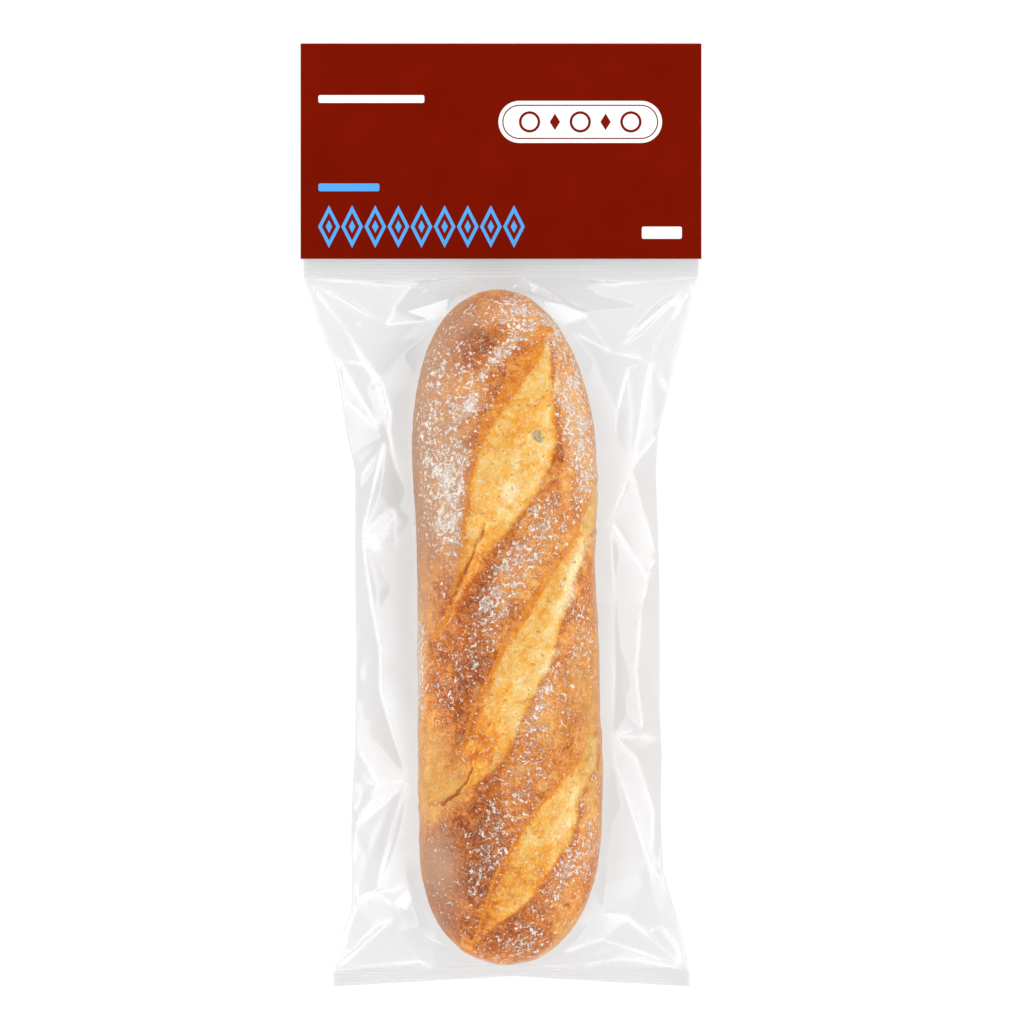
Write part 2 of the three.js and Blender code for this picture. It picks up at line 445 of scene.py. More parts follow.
def wander(places):
    # places moved a little, so that what is painted by them gets ragged edges
    wanderX = places[..., 0] + 1.6 * lumps(places, 8, 51) + 0.9 * lumps(places, 2.6, 52)
    wanderY = places[..., 1] + 1.6 * lumps(places, 8, 53) + 0.9 * lumps(places, 2.6, 54)
    return wanderX, wanderY


def paintPaths(x, y, paths):
    amount = np.zeros_like(x)
    for path, width, strength in paths:
        for (ax, ay), (bx, by) in zip(path, path[1:]):
            length = math.hypot(bx - ax, by - ay)
            share = np.clip(((x - ax) * (bx - ax) + (y - ay) * (by - ay)) / length**2, 0, 1)
            distance = np.hypot(x - ax - share * (bx - ax), y - ay - share * (by - ay))
            amount = np.maximum(amount, strength * bell(distance, width))
    return amount


def paintPatches(x, y, patches):
    amount = np.zeros_like(x)
    for centreX, centreY, halfWidth, halfLength, lean, strength in patches:
        turn = math.radians(lean)
        dx = x - centreX
        dy = y - centreY
        across = (dx * math.cos(turn) + dy * math.sin(turn)) / halfWidth
        lengthwise = (dy * math.cos(turn) - dx * math.sin(turn)) / halfLength
        spot = strength * np.exp(-(across**2 + lengthwise**2) ** 1.3)
        amount = amount + spot * (1 - amount)
    return amount


loafMesh = {
    "rowSpacing": 0.64,
    "capStep": 0.022,      # step in width near the tips, as a share of the full width
    "around": 212,
    "underside": 0.3,      # share of the points round a section that lie below its widest
    "swell": 0.55,         # broad unevenness of the crust
    "lump": 0.3,
    "blister": 0.13,
    "stretch": 0.35,       # torn strands inside the slashes
    "lowest": 0.35,        # gap to the table, left for the film
}


def loafRows():
    # distances from a tip for its round cap, then even rows along the body
    form = loafForm
    rounding = np.arange(1, round(0.5 / loafMesh["capStep"])) * loafMesh["capStep"]
    share = 1 - (1 - rounding**2) ** (1 / form["endPower"])
    topCap = form["top"] - form["topEnd"] * share
    bottomCap = form["bottom"] + form["bottomEnd"] * share
    count = round((topCap[-1] - bottomCap[-1]) / loafMesh["rowSpacing"])
    body = np.linspace(topCap[-1], bottomCap[-1], count)[1:-1]
    return np.concatenate([topCap, body, bottomCap[::-1]])


def loafSections(rows):
    # the plain form: one closed ring of places for each row
    form = loafForm
    overTop = round(loafMesh["around"] * (1 - loafMesh["underside"]))
    upper = np.linspace(0, math.pi, overTop, endpoint=False)
    lower = np.linspace(math.pi, 2 * math.pi, loafMesh["around"] - overTop, endpoint=False)
    angle = np.concatenate([upper, lower])
    side = np.cos(angle)
    above = np.sin(angle) >= 0
    arch = (1 - np.abs(side) ** form["crownPower"]) ** (1 / 2)
    belly = (1 - np.abs(side) ** form["basePower"]) ** (1 / form["basePower"])
    rounding = endRounding(rows)[:, None]
    crown = (form["height"] - form["widest"]) * rounding * arch
    flatBase = np.minimum(form["widest"], form["widest"] * rounding * belly * 1.05)
    z = form["widest"] + np.where(above, crown, -flatBase)
    x = loafMiddle(rows)[:, None] + loafHalfWidth(rows)[:, None] * side
    y = np.broadcast_to(rows[:, None], x.shape)
    return np.stack([x, y, z], axis=2), np.broadcast_to(above, x.shape)


def outwards(rings):
    # unit normals of a stack of rings
    aroundRing = np.roll(rings, -1, axis=1) - np.roll(rings, 1, axis=1)
    alongRings = np.gradient(rings, axis=0)
    normal = np.cross(aroundRing, alongRings)
    return normal / np.maximum(np.linalg.norm(normal, axis=2, keepdims=True), 1e-9)


def slashRelief(x, y, above):
    # each slash is a valley with a raised left lip and a ridge towards its right edge; also
    # gives the place in the nearest slash and how scorched the crust is
    def swelling(name, value):
        middle, width = slashForm[name]
        return bell(value - middle, width)

    farOutside = -20.0
    form = slashForm
    relief = np.zeros_like(x)
    nearest = np.full_like(x, farOutside)
    acrossNearest = np.zeros_like(x)
    scorched = np.zeros_like(x)
    for slash in slashes.values():
        inside, across, atLeft = slashPlace(x, y, slash)
        opening = smoothStep(inside, -0.4, 2.6)
        valley = swelling("valley", across)
        valley = valley + form["rightGrooveDepth"] * swelling("rightGroove", across)
        ridge = form["ridgeHeight"] * swelling("ridge", across)
        relief += slash["depth"] * opening * (ridge - valley)
        relief += form["lipHeight"] * swelling("lip", inside) * atLeft
        relief += form["rimHeight"] * swelling("rim", inside) * (1 - atLeft)
        width = alongLine(slash["scorched"], y)
        band = smoothStep(inside / width, -1, -0.4) * (1 - smoothStep(inside, 0, 1.2))
        scorched = np.maximum(scorched, band * atLeft)
        closer = inside > nearest
        nearest = np.where(closer, inside, nearest)
        acrossNearest = np.where(closer, across, acrossNearest)
    nearest = np.where(above, nearest, farOutside)
    return np.where(above, relief, 0), nearest, acrossNearest, np.where(above, scorched, 0)


def broadRelief(places):
    return loafMesh["swell"] * lumps(places, 27, 1) + loafMesh["lump"] * lumps(places, 8, 2)


def buildLoaf(material):
    rows = loafRows()
    rings, above = loafSections(rows)
    x, y, z = np.moveaxis(rings, 2, 0)
    normals = outwards(rings)
    relief, inside, across, scorched = slashRelief(x, y, above)
    opening = smoothStep(inside, -0.5, 1.5)
    blisters = lumps(rings, 1.9, 3) * (1 - 0.6 * opening)
    # strands lie along the slashes
    lean = math.radians(slashForm["lean"])
    strandPlaces = np.stack([
        (x * math.cos(lean) - y * math.sin(lean)) / 1.6,
        (x * math.sin(lean) + y * math.cos(lean)) / 9,
        z / 6,
    ], axis=2)
    strands = lumps(strandPlaces, 1, 7)
    wanderX, wanderY = wander(rings)
    cracks = paintPaths(wanderX, wanderY, crackPaths) * above
    relief = relief - slashForm["crackDepth"] * cracks + broadRelief(rings)
    relief = relief + loafMesh["blister"] * blisters + loafMesh["stretch"] * strands * opening
    lifted = rings + normals * relief[..., None]
    lowest = loafMesh["lowest"] + 0.15 * lumps(rings, 5, 4)
    lifted[..., 2] = np.maximum(lifted[..., 2], lowest)
    ringCount, around = x.shape
    tips = [(loafMiddle(np.array([end]))[0], end, loafForm["widest"])
            for end in (loafForm["top"], loafForm["bottom"])]
    vertices = np.concatenate([lifted.reshape(-1, 3), tips]) * mm
    numbers = np.arange(ringCount * around).reshape(ringCount, around)
    closed = np.concatenate([numbers, numbers[:, :1]], axis=1)
    faces = gridFaces(closed)
    topTip = ringCount * around
    for j in range(around):
        faces.append((topTip, closed[0, j + 1], closed[0, j]))
        faces.append((topTip + 1, closed[-1, j], closed[-1, j + 1]))
    loaf = makePiece("loaf", vertices, faces, material)

    below = np.where(above, 0.0, smoothStep(loafForm["widest"] - z, 0, 9))
    slope = smoothStep(1 - normals[..., 2], 0.35, 0.95)
    atTips = {"slash": -20, "slope": 1}
    painted = {"slash": inside, "across": across, "underside": below, "slope": slope,
               "scorched": scorched, "crack": cracks}
    for name, patches, kept in [
        ("flour", flourPatches, 1 - below), ("toast", toastPatches, 1),
        ("pale", palePatches, 1 - below), ("haze", filmHazePatches, 1 - below),
        ("cream", creamPatches, above), ("pock", pockPatches, above),
    ]:
        painted[name] = paintPatches(wanderX, wanderY, patches) * kept
    for name, values in painted.items():
        ends = [atTips.get(name, 0)] * 2
        paintPiece(loaf, name, np.concatenate([values.ravel(), ends]))
    return loaf


def crustMaterial():
    shader = Shader("floured crust")
    place = shader.places()
    inside, across, slope, underside = shader.attributes("slash", "across", "slope", "underside")
    flour, toast, pale, haze = shader.attributes("flour", "toast", "pale", "haze")
    scorched, crack, cream, pock = shader.attributes("scorched", "crack", "cream", "pock")

    # crust: golden to brown, uneven at three sizes
    broad = shader.grain(place, 14, 3)
    mid = shader.grain(place, 4.5, 3, 0.4)
    fine = shader.grain(place, 1.1, 3, 0.6)
    broadSwing, midSwing, fineSwing = [grain - 0.5 for grain in (broad, mid, fine)]
    heat = 0.42 + toast * 0.45 - pale * 0.25
    heat = heat + (broadSwing * 0.8 + midSwing * 1.1 + fineSwing * 0.9)
    crust = shader.ramp(heat, [
        (0.0, (0.74, 0.41, 0.13)),
        (0.2, (0.68, 0.29, 0.065)),
        (0.42, (0.54, 0.165, 0.026)),
        (0.7, (0.34, 0.072, 0.010)),
        (1.0, (0.17, 0.03, 0.005)),
    ])

    # inside the slashes: golden, with pale strands towards the right edge
    leaning = shader.turned(place, -slashForm["lean"], (1.0, 4.0, 1.0))
    strands = shader.grain(leaning, 1.0, 3, 0.8)
    clouds = shader.grain(place, 6, 2, 0.5)
    wrinkles = shader.curls(place, 2.6, 5, 1.4)
    furrows = shader.curls(shader.shifted(place, (7, 3, 1)), 3.2, 5, 1.6)
    edge = 1 - inside.between(0, 2.6)
    gold = 0.66 + (across - 0.4) * 0.2 + (clouds - 0.5) * 1.1 + (strands - 0.5) * 0.4
    gold = gold + fineSwing * 0.1 + wrinkles * 0.12 - furrows * 0.1
    gold = gold - edge * (1 - pale) * 0.32 - toast * 0.7
    torn = shader.ramp(gold, [
        (0.0, (0.50, 0.115, 0.010)),
        (0.25, (0.68, 0.22, 0.020)),
        (0.5, (0.77, 0.35, 0.045)),
        (0.75, (0.81, 0.49, 0.13)),
        (1.0, (0.83, 0.66, 0.32)),
    ])
    ragged = inside + midSwing * 2.6 + fineSwing * 1.6
    opening = ragged.between(-0.6, 0.8)
    surface = shader.mix(opening, crust, torn)
    surface = shader.mix(wrinkles * opening * 0.22, surface, (0.88, 0.66, 0.34))
    soft = (pale * (0.75 + midSwing * 1.2)).between(0.1, 1)
    surface = shader.mix(soft * 0.75, surface, (0.55, 0.295, 0.08))

    # scorched band outside a slash's left edge, and a dark line of painted shade along the groove
    # at its right edge
    rightSide = across.between(0.35, 0.6)
    scorch = (scorched + midSwing * 0.8 * scorched).between(0.1, 0.8) * (1 - pale)
    glaze = shader.ramp(fine + midSwing * 0.8, [
        (0.3, (0.74, 0.30, 0.035)),
        (0.75, (0.52, 0.135, 0.012)),
    ])
    surface = shader.mix(scorch * 0.85, surface, glaze)
    # painted shade along the groove at the slash's right edge
    rightEdgeShade = (1 - abs(ragged + 0.2) / 1.3).larger(0) * rightSide * mid.between(0.36, 0.58)
    surface = shader.mix(rightEdgeShade * 0.8, surface, (0.42, 0.095, 0.012))

    # flour: a thin veil under short curled strokes, grains and clouds; with it the film's
    # reflection painted in, as a dull haze on patches and paler steep sides
    outside = (1 - opening * 0.8) * (1 - scorch * 0.8)
    surface = shader.mix(wrinkles * outside * 0.2, surface, (0.84, 0.53, 0.26))
    amount = (flour + broadSwing * 0.9 + midSwing * 1.1 - 0.08) * outside
    surface = shader.mix(amount.between(0.2, 1.3) * 0.36, surface, (0.74, 0.44, 0.22))
    # painted reflection of the film: a dull haze on the crust
    paintedFilmHaze = (haze * (0.85 + midSwing * 0.8 + fineSwing * 0.4)).smaller(0.88).larger(0)
    surface = shader.mix(paintedFilmHaze * (1 - opening * 0.8), surface, (0.385, 0.24, 0.16))
    # painted reflection of the film: paler crust on the steep sides
    sides = slope.between(0.2, 1) * (0.45 - haze * 0.3)
    surface = shader.mix(sides, surface, (0.64, 0.42, 0.27))
    aside = shader.shifted(place, (31, 17, 5))
    strokes = shader.curls(place, 2.0, 5, 1.3).larger(shader.curls(aside, 2.6, 5, 1.8))
    gaps = shader.grain(aside, 1.7, 1)
    strokes = strokes * (gaps - 0.62 + amount * 0.28 + haze * 0.02).between(0, 0.14)
    specks = shader.grain(place, 0.7, 0)
    dots = (specks - 0.76 + amount * 0.1).between(0, 0.05)
    cloud = (fine * 0.6 + mid * 0.4 - 0.76 + amount * 0.4).between(0, 0.3)
    surface = shader.mix(cloud * 0.82, surface, (0.70, 0.62, 0.55))
    powder = (strokes * (0.85 - haze * 0.1)).larger(dots * 0.8)
    surface = shader.mix(powder, surface, (0.90, 0.83, 0.76))

    # plain baked base, then the slashes' pale spots, painted shade in the pores and cracks, and
    # the odd grey spot
    speckle = (fine * 0.5 + mid * 0.5).between(0.35, 0.65)
    base = shader.mix(speckle, (0.36, 0.15, 0.05), (0.52, 0.29, 0.12))
    surface = shader.mix(underside, surface, base)
    creamy = (cream * (0.5 + fine + (wrinkles - 0.5) * 0.4)).between(0.1, 0.95)
    surface = shader.mix(creamy * 0.85, surface, (0.84, 0.735, 0.44))
    # painted shade in the pores
    pores = (shader.grain(place, 1.7, 0) - 0.77).between(0, 0.04) * opening
    surface = shader.mix(pores * 0.5, surface, (0.45, 0.2, 0.04))
    # painted shade in the cracks
    hollow = (crack * (0.4 + fine + midSwing * 2)).between(0.2, 0.7)
    surface = shader.mix(hollow * 0.8, surface, (0.33, 0.075, 0.012))
    spotted = shader.mix(fine.between(0.4, 0.65), (0.46, 0.39, 0.23), (0.24, 0.19, 0.09))
    spot = (pock * 1.4 - fine * 0.6).between(0.2, 0.6)
    surface = shader.mix(spot * 0.85, surface, spotted)

    height = fine * 0.4 + powder * 0.8 + cloud * 0.4
    height = height + strands * opening * 0.5 + wrinkles * opening * 0.3
    height = height - pores * 0.8 - hollow * 0.8
    return shader.finish(shader.surface({
        "Base Color": surface,
        "Roughness": 0.72 - opening * 0.14,
        "Specular IOR Level": 0.08,
        "Normal": shader.bump(height, 0.4 * mm),
    }))


# Bag

bagForm = {
    "topSeal": 91.6,           # lower edge of the top seal
    "topSealWidth": 9,
    "intoCard": 128.5,         # the film ends here, between the card's leaves
    "midCard": 1.0,            # height of the middle of the card's slot
    "bottomSeal": -176,
    "bottomSealWidth": 5.5,
    "bottomSealPullIn": 2.6,   # the loaf's end draws the seal's middle in
    "bottomSealLift": 7.5,
    "bottomSealTilt": 0.45,
    "bottomSealNarrowing": 1.6,
    "cornerLift": 0.9,         # height of the side folds at the seals
    "waistLift": 9,            # and beside the loaf
    "bottomFlare": 46,
    "topFlare": 62,
    "filmGap": 0.35,           # film over crust
    "layerGap": 0.14,          # between the film's layers in a seal and a side fold
    "crimpPitch": 1.25,
    "crimpHeight": 0.13,
    "crimpShine": 0.5,
}
# Side folds of the bag from the bottom seal to the top one, as (y, x)
leftFold = [
    (-176, -64.5), (-167.5, -61.8), (-160, -60.6), (-152, -57.6), (-144.5, -57.2), (-121.5, -57.6),
    (-106, -57), (-90.5, -56), (-52, -55.6), (-29, -56), (9.5, -56), (17.5, -56.2), (32.5, -59.5),
    (48, -61.8), (56, -63.2), (63.5, -66), (71, -69.2), (79, -72), (86.5, -74.6), (91.6, -76.1),
]
rightFold = [
    (-176, 72.6), (-167.5, 71), (-160, 69.2), (-152, 67), (-144.5, 64.6), (-136.5, 62.3),
    (-121.5, 61.6), (-106, 61.6), (-90.5, 61.8), (-75, 61), (-29, 61), (-6, 60.4), (9.5, 59.8),
    (17.5, 59.5), (25, 60), (32.5, 60.6), (48, 64.5), (63.5, 68.2), (79, 72.6), (86.5, 74.5),
    (91.6, 76.1),
]
border = (np.s_[0, :], np.s_[-1, :], np.s_[:, 0], np.s_[:, -1])    # of a grid of places
filmMesh = {
    "rowSpacing": 0.64,
    "sealRowSpacing": 0.21,
    "tailStep": 16,        # seal rows to one row of the plain film in the card
    "wingColumns": 46,
    "loafColumns": 44,
    "backColumns": 30,
    "coarseColumns": 41,
    "coarseRows": 90,
    "gathering": 0.35,     # how much closer the rows are at the seals
    "coarseGathering": 0.55,
    "coarseRounds": 500,
    "fineRounds": 120,
    "overshoot": 1.75,     # of each step towards a tight film
}


def bottomSealPlace(across, outwardShare):
    # y and height of the bottom seal; across is -1 and 1 at the side folds
    form = bagForm
    middle = 1 - np.abs(across)
    width = form["bottomSealWidth"] - form["bottomSealNarrowing"] * middle
    y = form["bottomSeal"] + form["bottomSealPullIn"] * middle - outwardShare * width
    arch = 1 - across**2
    lift = form["cornerLift"] * (1 - outwardShare)
    lift = lift + form["bottomSealLift"] * arch * (1 - form["bottomSealTilt"] * outwardShare)
    return y, lift


def foldHeight(y):
    # height of the bag's side folds
    form = bagForm
    fromBottom = smoothStep(y, form["bottomSeal"], form["bottomSeal"] + form["bottomFlare"])
    opening = fromBottom * smoothStep(form["topSeal"] - y, 0, form["topFlare"])
    return form["cornerLift"] + (form["waistLift"] - form["cornerLift"]) * opening


def undersideHeight(x, y, across):
    # lower layer: flat under the loaf, rising to the side folds and the seals
    form = bagForm
    left = alongLine(leftFold, y)
    right = alongLine(rightFold, y)
    middle = loafMiddle(y)
    foot = loafForm["footHalfWidth"] * endRounding(y) ** 1.5
    toFold = np.where(x < middle, middle - left, right - middle)
    beside = np.clip((np.abs(x - middle) - foot) / (toFold - foot), 0, 1)
    sideRise = foldHeight(y) * beside**1.6
    nearBottom = 1 - smoothStep(y, form["bottomSeal"], loafForm["bottom"] + foot + 10)
    nearTop = 1 - smoothStep(form["topSeal"] - y, 0, form["topSeal"] - loafForm["top"] + 3)
    bottomRise = bottomSealPlace(across, 0)[1] * nearBottom**2
    return np.maximum(np.maximum(sideRise, bottomRise), form["midCard"] * nearTop)


def filmPlaces(rows, columns):
    # columns: shares of the way from the left fold to the right one, for each row
    left = alongLine(leftFold, rows)[:, None]
    right = alongLine(rightFold, rows)[:, None]
    x = left + (right - left) * columns
    across = 2 * columns - 1
    pull = 1 - smoothStep(rows, bagForm["bottomSeal"], bagForm["bottomSeal"] + 40)[:, None]
    y = rows[:, None] + bagForm["bottomSealPullIn"] * (1 - np.abs(across)) * pull
    return x, y, across


def supportHeight(x, y, across):
    # what the upper layer can't go below: the lower layer or the crust
    crust = crustHeight(x, y)
    places = np.stack([x, y, np.maximum(crust, 0)], axis=-1)
    crust = crust + broadRelief(places) + slashRelief(x, y, crust > 0)[0] + bagForm["filmGap"]
    return np.maximum(undersideHeight(x, y, across) + 0.3, np.where(crust > 5, crust, 0))


def tighten(x, y, support, height, rounds):
    # pulls each place to the mean of its four neighbours, in turns of the odd places and
    # the even ones, and a little past it so that the rounds are few
    inner = (slice(1, -1), slice(1, -1))
    sides = [(slice(0, -2), slice(1, -1)), (slice(2, None), slice(1, -1)),
             (slice(1, -1), slice(0, -2)), (slice(1, -1), slice(2, None))]
    weights = [1 / ((x[s] - x[inner]) ** 2 + (y[s] - y[inner]) ** 2) for s in sides]
    total = sum(weights)
    parity = np.add.outer(np.arange(x.shape[0]), np.arange(x.shape[1]))[inner] % 2
    for step in range(2 * rounds):
        mean = sum(w * height[s] for w, s in zip(weights, sides)) / total
        moved = height[inner] + filmMesh["overshoot"] * (mean - height[inner])
        chosen = parity == step % 2
        height[inner] = np.where(chosen, np.maximum(support[inner], moved), height[inner])
    return height


def gatheredRows(count, gathering):
    # y of rows from the top seal to the bottom one, closer where the film leaves a seal
    share = np.linspace(0, 1, count)
    share = share - gathering * np.sin(2 * np.pi * share) / (2 * np.pi)
    return bagForm["topSeal"] + (bagForm["bottomSeal"] - bagForm["topSeal"]) * share


def heldEdges(y, across, support):
    # start: everywhere on what is below, with the seals and side folds where they stay
    height = support.copy()
    height[:, 0] = foldHeight(y[:, 0]) + bagForm["layerGap"] / 2
    height[:, -1] = foldHeight(y[:, -1]) + bagForm["layerGap"] / 2
    height[0] = bagForm["midCard"] + bagForm["layerGap"] / 2
    height[-1] = bottomSealPlace(across[-1], 0)[1] + bagForm["layerGap"]
    return height


def tightFilm(rows, columns):
    # the upper layer pulled tight, first on a coarse grid and then on the fine one
    size = filmMesh
    coarseRows = gatheredRows(size["coarseRows"], size["coarseGathering"])
    coarseShares = np.linspace(0, 1, size["coarseColumns"])
    spread = np.broadcast_to(coarseShares, (len(coarseRows), len(coarseShares)))
    x, y, across = filmPlaces(coarseRows, spread)
    support = supportHeight(x, y, across)
    coarse = tighten(x, y, support, heldEdges(y, across, support), size["coarseRounds"])
    x, y, across = filmPlaces(rows, columns)
    height = np.empty_like(x)
    rowAt = np.interp(-rows, -coarseRows, np.arange(len(coarseRows)))
    for i, (place, shares) in enumerate(zip(rowAt, columns)):
        above = min(int(place), len(coarseRows) - 2)
        line = coarse[above] + (coarse[above + 1] - coarse[above]) * (place - above)
        height[i] = np.interp(shares, coarseShares, line)
    support = supportHeight(x, y, across)
    height = np.maximum(height, support)
    held = heldEdges(y, across, support)
    for edge in border:
        height[edge] = held[edge]
    return x, y, across, support, tighten(x, y, support, height, size["fineRounds"])


# Folds in the film beside the loaf: each a path of (x, y), how far it stands off the
# tight film, and the height of the sharp ridge along it
folds = {
    "topLeftSeam": ([(-75, 91), (-53.5, 89.5), (-40, 87.8), (-31, 88.3), (-19.6, 90.6), (-8, 91)],
                    1.0, 0.4),
    "topLeftHook": ([(-35, 88), (-27, 85.5)], 0.6, 0.35),
    "topLeftRay": ([(-75, 91), (-44.7, 73)], 1.6, 0.4),
    "topLeftRayIn": ([(-44.7, 73), (-31, 74.3), (-21.5, 79)], 0.5, 0.2),
    "topLeftSweep": ([(-75, 91), (-64.5, 77.5), (-58, 69), (-50.5, 58), (-45, 48.5), (-42.5, 39.5),
                      (-43, 32), (-40.5, 19.5), (-37, 10.5)], 2.0, 0.45),
    "leftKinkOut": ([(-62, 59.5), (-53.5, 58), (-47.5, 53.5)], 0.9, 0.3),
    "leftKinkDown": ([(-62, 59.5), (-45, 30)], -0.8, 0.3),
    "leftKinkLow": ([(-60, 44.5), (-46, 32)], 0.6, 0.25),
    "leftCurl": ([(-55.5, 72), (-53.5, 74.5)], 0.6, 0.3),
    "leftUpper": ([(-44.5, 28.5), (-53.5, -7.5)], 1.5, 0.5),
    "leftUpperOut": ([(-44.5, 28.5), (-54.5, 14)], 0.8, 0.25),
    "leftUpperIn": ([(-44.5, 28.5), (-36.5, 10.5)], 0.8, 0.25),
    "leftBroad": ([(-53.5, -7.5), (-40, 3)], 1.4, 0.3),
    "leftShort": ([(-53.5, -7.5), (-50.5, -12.5)], 0.6, 0.3),
    "leftLong": ([(-53.5, -7.5), (-47.5, -48)], 1.0, 0.35),
    "leftInner": ([(-41.5, 3), (-40.5, -11.5)], 0.7, 0.3),
    "topRightSeam": ([(76, 91.5), (52.5, 89.5), (41.5, 88.5), (35.5, 90.5)], 1.2, 0.4),
    "topRightRay": ([(76, 91.5), (42.5, 62.5)], 1.8, 0.4),
    "topRightEdge": ([(76, 91.5), (60.5, 68), (57.5, 59.5)], 1.0, 0.35),
    "peakLeft": ([(9, 91), (4, 87)], 1.0, 0.4),
    "peakRight": ([(9, 91), (16, 84.5)], 1.2, 0.45),
    "peakLong": ([(9, 91), (32.5, 77.5)], 1.6, 0.3),
    "rightIn": ([(42, 62.5), (28, 70)], 1.0, 0.35),
    "rightOut": ([(42, 62.5), (57.5, 59.5)], 1.2, 0.35),
    "rightDown": ([(57.5, 59.5), (50, 17.5)], 1.6, 0.45),
    "rightOuter": ([(57.5, 59.5), (63, 47.5)], 0.6, 0.3),
    "rightCurve": ([(57.5, 59.5), (48.5, 56), (44.5, 40), (44, 31)], 1.2, 0.35),
    "rightWaist": ([(59.5, 30.5), (50, 17.5)], 1.2, 0.4),
    "rightCrossDown": ([(50, 17.5), (59.5, -16.5)], 1.4, 0.4),
    "rightCrossIn": ([(50, 17.5), (42, -2.5)], 1.2, 0.35),
    "rightBroad": ([(42, -2.5), (56.5, -24)], 1.5, 0.5),
    "rightHook": ([(56.5, -24), (59, -16.5)], 0.8, 0.3),
    "rightTail": ([(56.5, -24), (54, -35)], 0.8, 0.3),
    "rightStreak": ([(53.5, -38), (52, -60), (54.5, -82)], 0.8, 0.3),
    "rightInner": ([(42, -3), (43.5, -30), (43.5, -60), (43, -84)], 0.5, 0.22),
    "lowLeftSweep": ([(-48, -40.5), (-46.5, -51), (-46, -68), (-42, -81.5), (-35.5, -102)],
                     1.2, 0.35),
    "lowLeftAcross": ([(-35.5, -102), (-47.5, -103), (-52.5, -102.5)], 1.2, 0.4),
    "lowLeftDown": ([(-35.5, -102), (-47.5, -143.5)], -1.0, 0.35),
    "lowLeftOut": ([(-35.5, -102), (-56.5, -121)], 1.2, 0.35),
    "lowLeftUp": ([(-47.5, -103), (-55, -90)], 0.8, 0.3),
    "lowLeftEdge": ([(-47.5, -103), (-56.5, -121)], 0.9, 0.3),
    "cornerOut": ([(-48, -145), (-55, -148)], 1.4, 0.4),
    "cornerIn": ([(-48, -145), (-41.5, -149.5)], 1.4, 0.4),
    "cornerUp": ([(-48, -145), (-36, -142.5)], 1.2, 0.35),
    "bottomLeftEdge": ([(-64, -175.5), (-56, -150)], 1.0, 0.35),
    "bottomLeftRay": ([(-64, -175.5), (-40, -154)], 1.8, 0.4),
    "bottomLeftRise": ([(-55, -148), (-56.5, -121)], 0.6, 0.3),
    "bottomLeftCurl": ([(-31.5, -158), (-27.5, -162), (-19, -166.5)], 1.0, 0.3),
    "bottomSeamRight": ([(72, -175), (55.5, -171.5), (47, -170.5), (30, -173), (12, -174)],
                        0.8, 0.4),
    "bottomSeam": ([(-64.5, -175.5), (-50.5, -173.5), (-31.5, -171.5), (-28, -173.5),
                    (-23.5, -172.5)], 1.0, 0.4),
    "lowRightShort": ([(43, -84.5), (52.5, -82)], 1.2, 0.35),
    "lowRightAcross": ([(43, -84.5), (61.5, -86)], 1.0, 0.35),
    "lowRightSweep": ([(43, -84.5), (52.5, -94), (58, -112.5), (58.5, -129)], 1.4, 0.4),
    "lowRightLong": ([(43, -84.5), (44, -95), (52, -119), (56.5, -133), (61.5, -158)], 1.0, 0.35),
    "bottomRightSweep": ([(39, -153), (48.5, -155), (57, -162), (71, -174.5)], 1.8, 0.45),
    "bottomRightIn": ([(39.5, -163), (23, -168)], 1.2, 0.4),
    "bottomRightRay": ([(39.5, -163), (71, -174.5)], 1.4, 0.4),
    "bottomRightEdge": ([(62, -158), (71, -174.5)], 1.0, 0.35),
    "bottomRightKink": ([(62, -158), (56, -160.5)], 1.0, 0.3),
}
# Painted highlights: white painted on facets where they would catch a light
paintedGlints = [    # outlines of facets that catch a light, and how white each is
    ([(-37, 78), (-20, 83.5), (-20.5, 77), (-26, 74.2)], 0.9),
    ([(15, 84.5), (24, 81), (33, 79.5), (33, 76), (24, 72.5), (18.5, 76)], 1.0),
    ([(9, 91), (15, 84), (11.5, 85.5)], 0.8),
    ([(-58.5, 68), (-57, 68.5), (-46.2, 50), (-48.9, 50)], 0.6),
    ([(-48.9, 50), (-46.2, 50), (-43, 38.5), (-45.3, 38)], 0.7),
    ([(-45.3, 38), (-43, 38.5), (-42.8, 32), (-44.3, 31)], 0.6),
    ([(-53.9, -7.3), (-47.5, -6.7), (-45.6, -12.5), (-48.1, -14.4)], 0.8),
    ([(-47.5, -6.7), (-37, 5.8), (-40.8, -1.9), (-45.6, -12.5)], 0.45),
    ([(41.6, -2.9), (49.7, -13.5), (56.4, -24), (46.8, -13.5)], 0.8),
    ([(-54.7, -147.8), (-52, -144.8), (-48.1, -144.4), (-48.5, -146.7), (-53.5, -149.4)], 0.9),
    ([(-41.8, -149.8), (-36, -142.5), (-34, -146.7), (-36, -151.7)], 0.9),
]
creasing = {
    "join": 1.2,           # fold ends nearer than this are one point
    "liftShare": 0.6,      # of each fold's stand-off that goes into flat facets
    "edgeSpacing": 8.0,    # of corners along the side folds
    "sealSpacing": 7.6,
    "fillSpacing": 12,     # of corners between the folds
    "fillLift": 0.3,
    "rounding": 3,         # smoothing passes over the facets
    "ridgeWidth": 0.55,
    "crestShare": 0.35,    # of the ridge's height
    "flankHeight": 0.8,    # sloping flanks beside each ridge, in ridge heights
    "flankWidth": 3.2,
    # painted highlight along each fold: a white line, and a soft glow down its lit side
    "lineWidth": 0.42,     # of the white line, growing with the ridge's height
    "lineSpread": 0.9,
    "whitest": 0.45,       # height of a ridge whose line is quite white
    "glow": 0.3,           # soft light down one side of a fold
    "glowWidth": 2.6,
    "reach": 12,           # no fold shows further off than this
    "seed": 11,
}


